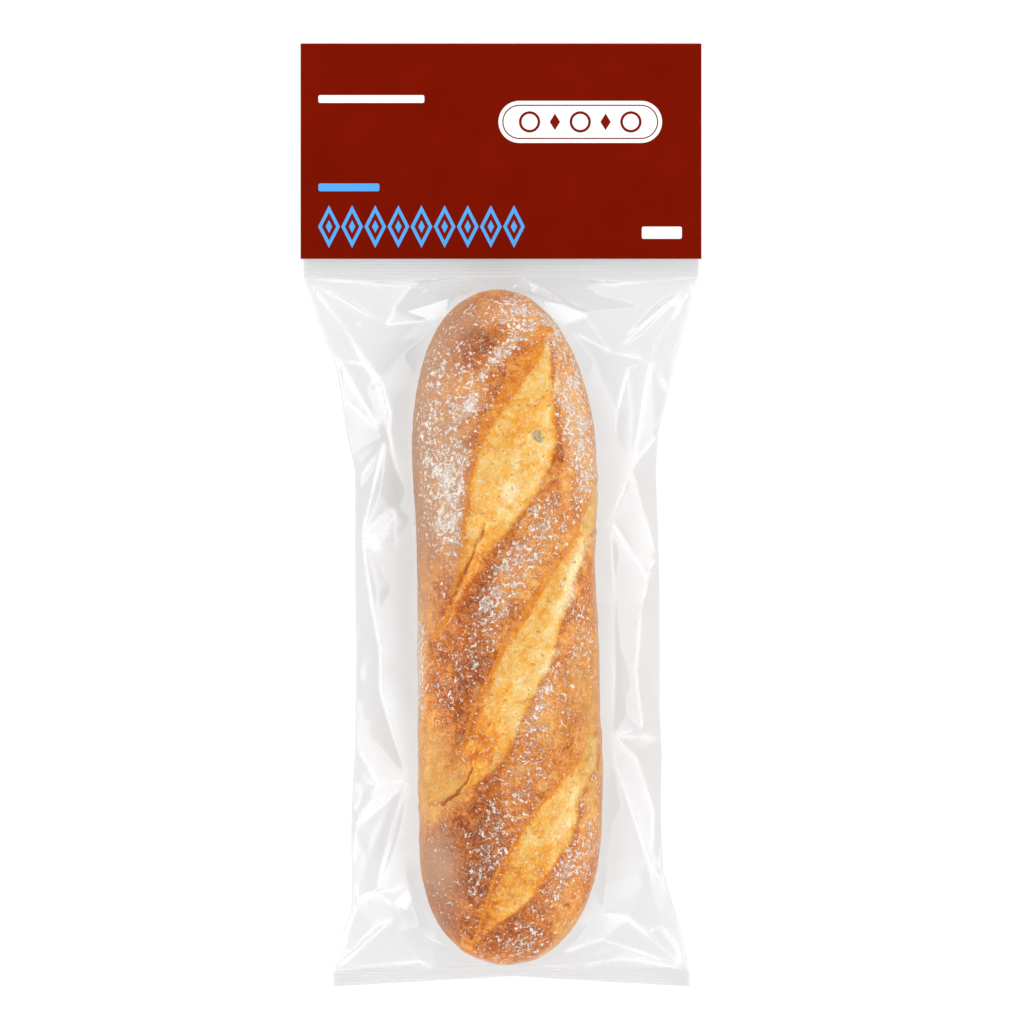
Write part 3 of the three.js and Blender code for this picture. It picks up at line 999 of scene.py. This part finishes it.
def foldNetwork(heightAt):
    # corner points of the facets between the folds, with the edges that must stay
    points = []
    lifts = []
    edges = []

    def corner(x, y, lift):
        for i, (px, py) in enumerate(points):
            if math.hypot(px - x, py - y) < creasing["join"]:
                lifts[i] = max(lifts[i], lift, key=abs)
                return i
        points.append((x, y))
        lifts.append(lift)
        return len(points) - 1

    for path, lift, _ in folds.values():
        numbers = [corner(x, y, lift * creasing["liftShare"]) for x, y in path]
        edges += [(a, b) for a, b in zip(numbers, numbers[1:]) if a != b]
    foldCorners = len(points)
    random = np.random.default_rng(creasing["seed"])
    for edge in (leftFold, rightFold):
        for y in np.arange(bagForm["bottomSeal"], bagForm["topSeal"] + 1, creasing["edgeSpacing"]):
            corner(float(alongLine(edge, y)), float(y), 0)
    for x in np.arange(-76, 77, creasing["sealSpacing"]):
        corner(float(x), bagForm["topSeal"] + 0.6, 0)
        corner(float(x), bagForm["bottomSeal"] - 0.6, 0)
    step = creasing["fillSpacing"]
    for y in np.arange(bagForm["bottomSeal"] + 6, bagForm["topSeal"] - 4, step):
        for x in np.arange(alongLine(leftFold, y) + 6, alongLine(rightFold, y) - 4, step):
            px = x + random.uniform(-0.35, 0.35) * step
            py = y + random.uniform(-0.35, 0.35) * step
            lift = random.normal(0, creasing["fillLift"])
            if all(math.hypot(px - a, py - b) > 0.45 * step for a, b in points[:foldCorners]):
                points.append((px, py))
                lifts.append(lift)
    flat = [Vector(p) for p in points]
    places, _, triangles, origins, _, _ = delaunay_2d_cdt(flat, edges, [], 0, 1e-4)
    heights = []
    for place, origin in zip(places, origins):
        lift = lifts[origin[0]] if origin else 0
        heights.append(heightAt(place.x, place.y) + lift)
    return np.array([tuple(p) for p in places]), np.array(heights), triangles


def nearCorners(x, y, corners, margin=0):
    # which places lie in the box round these corners
    low = np.min(corners, axis=0) - margin
    high = np.max(corners, axis=0) + margin
    return (x >= low[0]) & (x <= high[0]) & (y >= low[1]) & (y <= high[1])


def facetHeights(x, y, corners, heights, triangles, start):
    # each place's height on the flat facet that it lies in
    tiny = 1e-6
    result = start.copy()
    for triangle in triangles:
        (ax, ay), (bx, by), (cx, cy) = corners[triangle]
        area = (bx - ax) * (cy - ay) - (cx - ax) * (by - ay)
        if abs(area) < tiny:
            continue
        near = nearCorners(x, y, corners[triangle])
        px, py = x[near], y[near]
        b = ((px - ax) * (cy - ay) - (cx - ax) * (py - ay)) / area
        c = ((bx - ax) * (py - ay) - (px - ax) * (by - ay)) / area
        a = 1 - b - c
        inside = (a >= -tiny) & (b >= -tiny) & (c >= -tiny)
        flat = a * heights[triangle[0]] + b * heights[triangle[1]] + c * heights[triangle[2]]
        values = result[near]
        values[inside] = flat[inside]
        result[near] = values
    return result


def foldLines(x, y):
    # a narrow ridge along each fold, uneven and fading at its ends, and the highlight painted
    # along it: a white line and a soft glow down its lit side
    ridges = np.zeros_like(x)
    paintedWhiteness = np.zeros_like(x)
    for number, (path, _, ridge) in enumerate(folds.values()):
        lengths = [math.dist(a, b) for a, b in zip(path, path[1:])]
        whole = sum(lengths)
        done = 0
        width = creasing["lineWidth"] + ridge * creasing["lineSpread"]
        for start, end, length in zip(path, path[1:], lengths):
            near = nearCorners(x, y, [start, end], creasing["reach"])
            px, py = x[near] - start[0], y[near] - start[1]
            runX, runY = end[0] - start[0], end[1] - start[1]
            share = np.clip((px * runX + py * runY) / length**2, 0, 1)
            distance = np.hypot(px - share * runX, py - share * runY)
            place = (done + share * length) / whole
            fading = np.sqrt(np.clip(place / 0.1, 0.15, 1) * np.clip((1 - place) / 0.25, 0, 1))
            strength = ridge * fading * (0.75 + 0.35 * np.sin(place * 7 + number * 2.1))
            crest = creasing["crestShare"] * bell(distance, creasing["ridgeWidth"])
            flank = creasing["flankHeight"] * np.exp(-distance / creasing["flankWidth"])
            ridges[near] = np.maximum(ridges[near], strength * (crest + flank))
            litSide = (px * runY - py * runX) * (-1) ** number > 0
            glow = creasing["glow"] * np.exp(-distance / creasing["glowWidth"]) * litSide
            white = strength / creasing["whitest"] * np.maximum(bell(distance, width), glow)
            paintedWhiteness[near] = np.maximum(paintedWhiteness[near], white)
            done += length
    return ridges, paintedWhiteness


def paintedGlintWhiteness(x, y):
    # painted highlight: how white the facets are painted where they would catch a light
    paintedWhiteness = np.zeros_like(x)
    for outline, white in paintedGlints:
        middleX, middleY = np.mean(outline, axis=0)
        inside = np.full_like(x, np.inf)
        for (ax, ay), (bx, by) in zip(outline, outline[1:] + outline[:1]):
            length = math.hypot(bx - ax, by - ay)
            runX, runY = (bx - ax) / length, (by - ay) / length
            inwards = math.copysign(1, runY * (middleX - ax) - runX * (middleY - ay))
            inside = np.minimum(inside, inwards * (runY * (x - ax) - runX * (y - ay)))
        paintedWhiteness = np.maximum(paintedWhiteness, white * smoothStep(inside, -0.4, 0.7))
    return paintedWhiteness


def creaseFilm(x, y, across, support, tight):
    # flat facets between folds where the film is loose, tight film over the loaf
    def heightAt(px, py):
        nearest = np.argmin((x - px) ** 2 + (y - py) ** 2)
        return tight.ravel()[nearest]

    corners, heights, triangles = foldNetwork(heightAt)
    faceted = facetHeights(x, y, corners, heights, triangles, tight)
    toTop = bagForm["topSeal"] - y
    toBottom = y - bottomSealPlace(across, 0)[0]
    toSeal = np.minimum(toTop, toBottom)
    loose = smoothStep(tight - support, 0.15, 1.6)
    loose = loose * smoothStep(np.minimum(1 + across, 1 - across), 0, 0.03)
    loose = loose * smoothStep(toTop, 0, 1.5) * smoothStep(toBottom, 0, 1.5)
    height = tight + (faceted - tight) * loose
    for _ in range(creasing["rounding"]):
        padded = np.pad(height, 1, mode="edge")
        alongY = padded[:-2, 1:-1] + padded[2:, 1:-1]
        height = 0.5 * height + 0.125 * (alongY + padded[1:-1, :-2] + padded[1:-1, 2:])
    places = flatPlaces(x, y)
    waves = 0.3 * lumps(places, 16, 21) + 0.05 * lumps(places, 5, 22)
    pleats = lumps(places * (1, 0.12, 1), 3.4, 23) * 0.9
    gathered = pleats * np.exp(-np.maximum(toSeal, 0) / 7) * smoothStep(toSeal, 0, 2)
    ridges, paintedWhiteness = foldLines(x, y)
    height = height + (waves + ridges + gathered) * (0.12 + 0.88 * loose)
    height = np.maximum(height, support)
    for edge in border:
        height[edge] = tight[edge]
    return height, np.maximum(paintedWhiteness, paintedGlintWhiteness(x, y))


def filmColumns(rows):
    # shares across the bag: close in the loose film beside the loaf, wider over it
    left = alongLine(leftFold, rows)[:, None]
    right = alongLine(rightFold, rows)[:, None]
    middle = loafMiddle(rows)[:, None]
    half = 12 + 17 * endRounding(rows)[:, None]
    start = (middle - half - left) / (right - left)
    end = (middle + half - left) / (right - left)
    wing = np.linspace(0, 1, filmMesh["wingColumns"], endpoint=False)
    over = np.linspace(0, 1, filmMesh["loafColumns"], endpoint=False)
    last = np.linspace(0, 1, filmMesh["wingColumns"] + 1)
    pieces = [wing * start, start + over * (end - start), end + last * (1 - end)]
    return np.concatenate(pieces, axis=1)


def crimp(distance):
    # ridges pressed along a seal
    return bagForm["crimpHeight"] * np.sin(2 * np.pi * distance / bagForm["crimpPitch"])


def withSeals(x, y, z, across, side):
    # adds the seals' rows above and below one layer; side is 1 for the upper layer and -1
    # for the lower one
    form = bagForm
    step = filmMesh["sealRowSpacing"]
    rows = np.arange(form["topSeal"] + step, form["intoCard"], step)
    crimped = rows < form["topSeal"] + form["topSealWidth"]
    rows = rows[crimped | (np.arange(len(rows)) % filmMesh["tailStep"] == 0)]
    topX = np.broadcast_to(x[0], (len(rows), x.shape[1]))
    topY = np.broadcast_to(rows[:, None], topX.shape)
    above = topY - form["topSeal"]
    fade = smoothStep(form["topSealWidth"] - above, 0, 1) * smoothStep(above, 0, 0.4)
    wavy = 0.5 + 0.5 * lumps(flatPlaces(topX, topY * 0), 9, 31)
    topZ = form["midCard"] + side * form["layerGap"] / 2 + crimp(above) * fade * wavy
    outward = np.linspace(0, 1, round(form["bottomSealWidth"] / step))[1:, None]
    lowY, lift = bottomSealPlace(across[-1][None, :], outward)
    lowX = np.broadcast_to(x[-1], lowY.shape)
    pressed = crimp(outward * form["bottomSealWidth"]) * smoothStep(outward, 0, 0.1)
    lowZ = lift + form["layerGap"] * (1 + side) / 2 + pressed
    layers = [(topX, x, lowX), (topY, y, lowY), (topZ, z, lowZ)]
    return [np.concatenate([top[::-1], middle, low]) for top, middle, low in layers]


def sealHighlights(x, y):
    # painted highlights: faint white lines on the pressed ridges of the seals
    form = bagForm
    uneven = np.clip(0.5 + lumps(flatPlaces(x / 30, y / 0.6), 1, 61), 0, 1)
    fromSeal = np.maximum(y - form["topSeal"], form["bottomSeal"] + form["bottomSealPullIn"] - y)
    line = 0.5 + 0.5 * np.sin(2 * np.pi * fromSeal / form["crimpPitch"])
    return form["crimpShine"] * line**2 * uneven * (fromSeal > 0)


filmLook = {
    # painted shadow of the card's lower edge on the top seal, darkest in the middle
    "cardShadow": (0.5, 0.45),         # at the top seal's lower edge, and added above it
    "cardShadowMiddle": (0.24, 40),    # share of it in the middle of the bag alone, half width
    "bottomTint": 0.32,
    # painted shade in a grey strip along the loaf's sides
    "shadeStripWidth": 12,               # grey strip along the loaf
    "shadeStripLeft": (0.4, 0.6),        # its strength low down, and added further up
    "shadeStripRight": 0.3,
    "coolWidth": 34,                # bluer film along the loaf
    "plain": (0.907, 0.909, 0.910),
    "cool": (0.892, 0.907, 0.921),
    "onCrust": (0.985, 0.985, 0.985),
    "dark": (0.68, 0.68, 0.68),
    "gloss": (0.97, 0.97, 0.98),
}


def filmTintAndShade(x, y):
    # where the film darkens what is under it: in the seals, with the card's shadow painted on the
    # top one, and in a strip of painted shade beside the loaf
    look = filmLook
    seal = bagForm["topSeal"]
    # painted shadow of the card on the top seal
    base, added = look["cardShadow"]
    inMiddle, width = look["cardShadowMiddle"]
    top = smoothStep(y, seal - 5, seal + 1) * (base + added * smoothStep(y, seal, seal + 8))
    top = top * (1 - inMiddle + inMiddle * bell(x, width))
    bottomSeal = bagForm["bottomSeal"]
    bottom = look["bottomTint"] * (1 - smoothStep(y, bottomSeal, bottomSeal + 4))
    # painted shade in a strip beside the loaf
    beyond = beyondLoaf(x, y)
    low, higher = look["shadeStripLeft"]
    strength = np.where(x < 0, low + higher * smoothStep(y, -110, -40), look["shadeStripRight"])
    shadeStrip = strength * bell(beyond, look["shadeStripWidth"]) * smoothStep(beyond, -4, 1)
    shadeStrip = shadeStrip * smoothStep(endRounding(y), 0.3, 0.9)
    return np.maximum(np.maximum(top, bottom), shadeStrip)


def backLayer(rows):
    # the film's lower layer, gently uneven where it hangs free
    shares = np.linspace(0, 1, filmMesh["backColumns"])
    x, y, across = filmPlaces(rows, np.broadcast_to(shares, (len(rows), len(shares))))
    height = undersideHeight(x, y, across)
    places = flatPlaces(x, y)
    free = smoothStep(height, 0.3, 2.5) * smoothStep(1 - np.abs(across), 0, 0.1)
    height = height + (lumps(places, 12, 41) * 0.7 + lumps(places, 5, 42) * 0.2 - 0.2) * free
    height = np.maximum(height, 0)
    height[:, 0] = foldHeight(y[:, 0]) - bagForm["layerGap"] / 2
    height[:, -1] = foldHeight(y[:, -1]) - bagForm["layerGap"] / 2
    height[0] = bagForm["midCard"] - bagForm["layerGap"] / 2
    height[-1] = bottomSealPlace(across[-1], 0)[1]
    return withSeals(x, y, height, across, -1)


def zipLines(first, second, places):
    # triangles between two lines of vertex numbers with unlike counts, in order of x
    faces = []
    i = j = 0
    while i < len(first) - 1 or j < len(second) - 1:
        if i == len(first) - 1:
            onFirst = False
        else:
            onFirst = j == len(second) - 1 or places[first[i + 1]][0] <= places[second[j + 1]][0]
        if onFirst:
            faces.append((first[i], first[i + 1], second[j]))
            i += 1
        else:
            faces.append((first[i], second[j + 1], second[j]))
            j += 1
    return faces


def buildFilm(material):
    count = round((bagForm["topSeal"] - bagForm["bottomSeal"]) / filmMesh["rowSpacing"])
    rows = gatheredRows(count, filmMesh["gathering"])
    x, y, across, support, tight = tightFilm(rows, filmColumns(rows))
    height, paintedWhiteness = creaseFilm(x, y, across, support, tight)
    upper = withSeals(x, y, height, across, 1)
    lower = backLayer(rows)
    places = [np.stack(layer, axis=-1).reshape(-1, 3) for layer in (upper, lower)]
    vertices = np.concatenate(places) * mm
    upperSize, lowerSize = upper[0].size, lower[0].size
    upperNumbers = np.arange(upperSize).reshape(upper[0].shape)
    lowerNumbers = upperSize + np.arange(lowerSize).reshape(lower[0].shape)
    faces = gridFaces(upperNumbers[::-1]) + gridFaces(lowerNumbers)
    leftRim = np.stack([upperNumbers[:, 0], lowerNumbers[:, 0]], axis=1)
    rightRim = np.stack([lowerNumbers[:, -1], upperNumbers[:, -1]], axis=1)
    faces += gridFaces(leftRim) + gridFaces(rightRim)
    faces += zipLines(upperNumbers[0], lowerNumbers[0], vertices)
    bottomRim = zipLines(upperNumbers[-1], lowerNumbers[-1], vertices)
    faces += [face[::-1] for face in bottomRim]
    film = makePiece("film", vertices, faces, material)

    # painted on the upper layer, between the seals or all over it
    topRows = int(np.argmax(np.isclose(upper[1][:, 0], rows[0])))
    between = slice(topRows, topRows + len(rows))
    beyond = beyondLoaf(x, y)
    atLoaf = smoothStep(endRounding(y), 0.05, 0.3)
    lifted = np.where(beyond < 0, height - support, 0)
    onCrust = (1 - smoothStep(lifted, 5, 14)) * (1 - smoothStep(beyond, -2, 8)) * atLoaf
    lying, beside = np.zeros_like(upper[:2])
    lying[between] = onCrust
    beside[between] = bell(beyond, filmLook["coolWidth"]) * atLoaf
    # painted highlights: on the seals' ridges, and along the folds and glints between them
    creased = sealHighlights(*upper[:2])
    creased[between] = paintedWhiteness
    painted = {"lying": lying, "creased": creased, "tint": filmTintAndShade(*upper[:2]), "beside": beside}
    for name, values in painted.items():
        paintPiece(film, name, np.concatenate([values.ravel(), np.zeros(lowerSize)]))
    return film


def filmMaterial():
    shader = Shader("clear film")
    look = filmLook
    facing = shader.add("ShaderNodeLayerWeight", None, {"Blend": 0.5}, "Facing")
    lying, creased, tint, beside = shader.attributes("lying", "creased", "tint", "beside")
    glancing = facing**5 * 0.75 * (1 - lying * 0.6)
    # painted highlight: where fold lines, glints and seal lines are painted, more shine shows and
    # it turns white, rough and no longer metal
    gleam = glancing + (0.06 + creased.smaller(1.2) * 0.42) * (1 - lying * 0.9)
    scuffs = shader.grain(shader.places(), 2.4, 3)
    shine = shader.surface({
        "Base Color": look["gloss"],
        "Metallic": 1 - creased.smaller(1),
        "Roughness": 0.07 + scuffs * 0.05 + creased.smaller(1) * 0.6,
    })
    loose = shader.blend(beside, shader.sheer(look["plain"]), shader.sheer(look["cool"]))
    clear = shader.blend(lying, loose, shader.sheer(look["onCrust"]))
    # darker film in the seals, and painted shade: the card's shadow and the strip beside the loaf
    clear = shader.blend(tint * (1 - lying), clear, shader.sheer(look["dark"]))
    return shader.finish(shader.blend(gleam, clear, shine))


# Header card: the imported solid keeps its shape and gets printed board

board = {
    "red": (0.178, 0.0055, 0.0003),
    "blue": (0.082, 0.36, 0.80),
    "white": (0.90, 0.88, 0.87),
    "core": (0.86, 0.84, 0.80),    # bare board at the cut edges and inside
    "inkHeight": 0.05,
    "inkOverlap": 0.01,            # of each ink with the board's surface
}
cardLow, cardHigh = [[c / mm for c in corner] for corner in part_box("header_card")]


def boardMaterial():
    shader = Shader("printed board")
    place = shader.places()
    parts = shader.separate(place)
    cutSide = abs(parts["X"]).between(cardHigh[0] - 0.08, cardHigh[0] - 0.04)
    cutFoot = 1 - parts["Y"].between(cardLow[1] + 0.04, cardLow[1] + 0.08)
    inside = 1 - abs(parts["Z"] - bagForm["midCard"]).between(0.6, 0.7)
    inside = inside * (1 - parts["Y"].between(cardHigh[1] - 0.8, cardHigh[1] - 0.7))
    bare = cutSide.larger(cutFoot).larger(inside)
    fibre = shader.grain(place, 0.35, 3)
    mottle = shader.grain(place, 16, 3)
    ink = shader.mix(mottle.between(0.3, 0.75), board["red"], [c * 0.9 for c in board["red"]])
    sockets = {
        "Base Color": shader.mix(bare, ink, board["core"]),
        "Roughness": 0.46 + fibre * 0.1 + bare * 0.3,
        "Specular IOR Level": 0.01,
        "Normal": shader.bump(fibre + mottle * 2, 0.02 * mm),
    }
    return shader.finish(shader.surface(sockets))


def inkMaterial(name, colour):
    shader = Shader(name)
    fibre = shader.grain(shader.places(), 0.35, 3)
    return shader.finish(shader.surface({
        "Base Color": colour,
        "Roughness": 0.46 + fibre * 0.1,
        "Specular IOR Level": 0.04,
        "Normal": shader.bump(fibre, 0.015 * mm),
    }))


# Print on the card: plain fields and shapes

plaque = {
    "centre": (30.5, 151.3),
    "halfSize": (31.5, 8.1),
    "lineInset": 1.5,
    "lineWidth": 0.45,
    "rings": [-19.5, 0, 19.5],   # places of the plain rings along the plaque
    "ringRadius": 4.1,
    "ringWidth": 1.0,
    "diamonds": [-9.75, 9.75],
    "diamondHalf": (2.0, 3.2),
}
bars = {    # ink, and two opposite corners
    "white_rule": ("white", (-70.3, 158.6), (-29.5, 161.6)),
    "blue_rule": ("blue", (-70.3, 124.6), (-46.8, 127.6)),
    "foot_label": ("white", (54.2, 106.3), (69.6, 111.0)),
}
barCorner = 0.7
frieze = {
    "start": (-66.2, 111.0),
    "count": 9,
    "pitch": 8.9,
    "halfWidth": 4.2,
    "halfHeight": 8.2,
    "lineShare": 0.66,      # size of the red middle
    "dotShare": 0.3,        # size of the blue dot in it
}


def roundedOutline(centre, halfWidth, halfHeight, corner, steps=12):
    # anticlockwise, with round corners of that radius; a circle where all three are equal
    outline = []
    for quarter, (sideX, sideY) in enumerate([(1, 1), (-1, 1), (-1, -1), (1, -1)]):
        for step in range(steps + 1):
            angle = math.pi / 2 * (quarter + step / steps)
            outline.append((centre[0] + sideX * (halfWidth - corner) + corner * math.cos(angle),
                            centre[1] + sideY * (halfHeight - corner) + corner * math.sin(angle)))
    return outline


def printShapes(name, shapes, lift, material):
    # each shape is an outline, or a pair of outlines with the space between them filled
    low = cardHigh[2] - board["inkOverlap"]
    high = cardHigh[2] + lift
    vertices = []
    faces = []
    for shape in shapes:
        outer, inner = shape if isinstance(shape, tuple) else (shape, None)
        count = len(outer)
        first = len(vertices)
        for outline in (outer, inner or []):
            vertices += [(x, y, low) for x, y in outline] + [(x, y, high) for x, y in outline]
        a, b, c, d = (first + k * count for k in range(4))
        for i in range(count):
            j = (i + 1) % count
            faces.append((a + i, a + j, b + j, b + i))
            if inner:
                faces.append((c + j, c + i, d + i, d + j))
                faces.append((b + i, b + j, d + j, d + i))
                faces.append((a + j, a + i, c + i, c + j))
        if not inner:
            faces.append(tuple(range(b, b + count)))
            faces.append(tuple(range(a + count - 1, a - 1, -1)))
    piece = makePiece(name, np.array(vertices) * mm, faces, material)
    piece.data.polygons.foreach_set("use_smooth", [False] * len(piece.data.polygons))
    return piece


def diamondOutline(centre, half):
    (x, y), (halfWidth, halfHeight) = centre, half
    return [(x + halfWidth, y), (x, y + halfHeight), (x - halfWidth, y), (x, y - halfHeight)]


def barOutline(low, high):
    (x0, y0), (x1, y1) = low, high
    middle = ((x0 + x1) / 2, (y0 + y1) / 2)
    return roundedOutline(middle, (x1 - x0) / 2, (y1 - y0) / 2, barCorner, 5)


def buildPlaque(white, red):
    x, y = plaque["centre"]

    def edge(inset):
        halfWidth, halfHeight = [half - inset for half in plaque["halfSize"]]
        return roundedOutline((x, y), halfWidth, halfHeight, halfHeight)

    def circle(along, radius):
        return roundedOutline((x + along, y), radius, radius, radius)

    inset = plaque["lineInset"]
    outer = plaque["ringRadius"]
    shapes = [(edge(inset), edge(inset + plaque["lineWidth"]))]
    for along in plaque["rings"]:
        shapes.append((circle(along, outer), circle(along, outer - plaque["ringWidth"])))
    for along in plaque["diamonds"]:
        shapes.append(diamondOutline((x + along, y), plaque["diamondHalf"]))
    field = printShapes("plaque", [edge(0)], board["inkHeight"], white)
    return field, printShapes("plaque_figures", shapes, 1.6 * board["inkHeight"], red)


# Geometry Nodes for the frieze


class Geometry(Nodes):
    def __init__(self, name):
        tree = bpy.data.node_groups.new(name, "GeometryNodeTree")
        tree.interface.new_socket("Geometry", in_out="OUTPUT", socket_type="NodeSocketGeometry")
        super().__init__(tree)
        self.inputs = self.tree.nodes.new("NodeGroupInput")
        self.identifiers = {}

    def number(self, name, kind="NodeSocketFloat"):
        item = self.tree.interface.new_socket(name, in_out="INPUT", socket_type=kind)
        self.identifiers[name] = item.identifier
        return Link(self, self.inputs.outputs[item.identifier])

    def vector(self, x, y, z):
        return self.add("ShaderNodeCombineXYZ", None, {"X": x, "Y": y, "Z": z})

    def make(self, name, geometry, values):
        # runs the tree once and keeps the result as a plain mesh
        self.add("NodeGroupOutput", None, {0: geometry}, output=None)
        holder = bpy.data.objects.new(name + "_tree", bpy.data.meshes.new(name))
        bpy.context.scene.collection.objects.link(holder)
        modifier = holder.modifiers.new(name, "NODES")
        modifier.node_group = self.tree
        for key, value in values.items():
            modifier[self.identifiers[key]] = value
        evaluated = holder.evaluated_get(bpy.context.evaluated_depsgraph_get())
        mesh = bpy.data.meshes.new_from_object(evaluated)
        bpy.data.objects.remove(holder)
        piece = bpy.data.objects.new(name, mesh)
        bpy.context.scene.collection.objects.link(piece)
        return piece


def buildFrieze(blue, red):
    nodes = Geometry("lozenge frieze")
    halfWidth = nodes.number("Half Width")
    halfHeight = nodes.number("Half Height")
    pitch = nodes.number("Pitch")
    count = nodes.number("Count", "NodeSocketInt")
    startX = nodes.number("Start X")
    startY = nodes.number("Start Y")
    surface = nodes.number("Surface")
    thickness = nodes.number("Thickness")
    layers = []
    plates = [(1, blue), (frieze["lineShare"], red), (frieze["dotShare"], blue)]
    for number, (share, ink) in enumerate(plates):
        depth = thickness * (1 + 0.5 * number)
        plate = nodes.add("GeometryNodeMeshCylinder", {"fill_type": "NGON"}, {
            "Vertices": 4,
            "Radius": 1.0,
            "Depth": depth,
        })
        plate = nodes.add("GeometryNodeTransform", None, {
            "Geometry": plate,
            "Scale": nodes.vector(halfWidth * share, halfHeight * share, 1.0),
            "Translation": nodes.vector(0.0, 0.0, depth * 0.5),
        })
        sockets = {"Geometry": plate, "Material": ink}
        layers.append(nodes.add("GeometryNodeSetMaterial", None, sockets))
    lozenge = nodes.join(layers)
    line = nodes.add("GeometryNodeMeshLine", None, {
        "Count": count,
        "Start Location": nodes.vector(startX, startY, surface),
        "Offset": nodes.vector(pitch, 0.0, 0.0),
    })
    row = nodes.add("GeometryNodeInstanceOnPoints", None, {"Points": line, "Instance": lozenge})
    row = nodes.add("GeometryNodeRealizeInstances", None, {"Geometry": row})
    values = {
        "Half Width": frieze["halfWidth"] * mm,
        "Half Height": frieze["halfHeight"] * mm,
        "Pitch": frieze["pitch"] * mm,
        "Count": frieze["count"],
        "Start X": frieze["start"][0] * mm,
        "Start Y": frieze["start"][1] * mm,
        "Surface": (cardHigh[2] - board["inkOverlap"]) * mm,
        "Thickness": (board["inkHeight"] + board["inkOverlap"]) * mm,
    }
    return nodes.make("frieze", row, values)


# Studio

studio = {
    "floorGlow": 0.62,
    "floorAlbedo": 0.42,
    "floorHalf": 3.0,              # metres
    "floorHeight": -0.0003,
    "zenith": 1.2,                 # light from above
    "rim": 0.5,                    # added all round, low down
    "leftBox": 1.6,                # added from the upper left and from the right
    "rightBox": 1.2,
    "rimHeights": (0.05, 0.42),
    "cameraHeight": 6.0,           # metres
    "cameraPlace": (4.235, 1.155),
    "pictureWidth": 394.24,        # at the floor
}


def buildSky():
    # a soft room: dim overhead and brighter towards the horizon
    world = bpy.data.worlds.new("studio")
    bpy.context.scene.world = world
    world.use_nodes = True
    world.node_tree.nodes.clear()
    sky = Nodes(world.node_tree)
    way = sky.separate(sky.add("ShaderNodeTexCoord", output="Generated"))
    low = 1 - way["Z"].between(*studio["rimHeights"])
    left = (way["Y"] * 0.4 - way["X"]).between(0.2, 0.95)
    right = (way["X"] - way["Y"] * 0.25).between(0.3, 0.95)
    lowLight = studio["rim"] + left * studio["leftBox"] + right * studio["rightBox"]
    strength = studio["zenith"] + low * lowLight
    light = sky.add("ShaderNodeBackground", None, {"Color": (1, 1, 1), "Strength": strength})
    sky.add("ShaderNodeOutputWorld", None, {"Surface": light}, output=None)


def buildFloor():
    shader = Shader("pale floor")
    grey = studio["floorAlbedo"]
    sockets = {
        "Base Color": (grey, grey, grey),
        "Roughness": 0.9,
        "Specular IOR Level": 0.0,
        "Emission Color": (1, 1, 1),
        "Emission Strength": studio["floorGlow"],
    }
    material = shader.finish(shader.add("ShaderNodeBsdfPrincipled", None, sockets))
    half, height = studio["floorHalf"], studio["floorHeight"]
    corners = [(half * sideX, half * sideY, height)
               for sideX, sideY in [(-1, -1), (1, -1), (1, 1), (-1, 1)]]
    makePiece("floor", corners, [(0, 1, 2, 3)], material)


def addCamera():
    lens = bpy.data.cameras.new("camera")
    lens.sensor_width = 36
    lens.lens = lens.sensor_width * studio["cameraHeight"] / (studio["pictureWidth"] * mm)
    lens.clip_end = 50
    camera = bpy.data.objects.new("camera", lens)
    camera.location = (*[c * mm for c in studio["cameraPlace"]], studio["cameraHeight"])
    bpy.context.scene.collection.objects.link(camera)
    bpy.context.scene.camera = camera
    bpy.context.scene.view_settings.view_transform = "Standard"


print("loaf")
loaf = buildLoaf(crustMaterial())
print("film")
film = buildFilm(filmMaterial())
print("header card")
redBoard = boardMaterial()
inks = {name: inkMaterial(name + " ink", board[name]) for name in ("white", "red", "blue")}
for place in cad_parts["header_card"].material_slots:
    place.material = redBoard
prints = [*buildPlaque(inks["white"], inks["red"]), buildFrieze(inks["blue"], inks["red"])]
for name, (ink, low, high) in bars.items():
    prints.append(printShapes(name, [barOutline(low, high)], board["inkHeight"], inks[ink]))
print("studio")
buildSky()
buildFloor()
addCamera()

for piece in (loaf, film, *prints):
    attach(piece, "root")
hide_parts("bag")
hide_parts("bag")
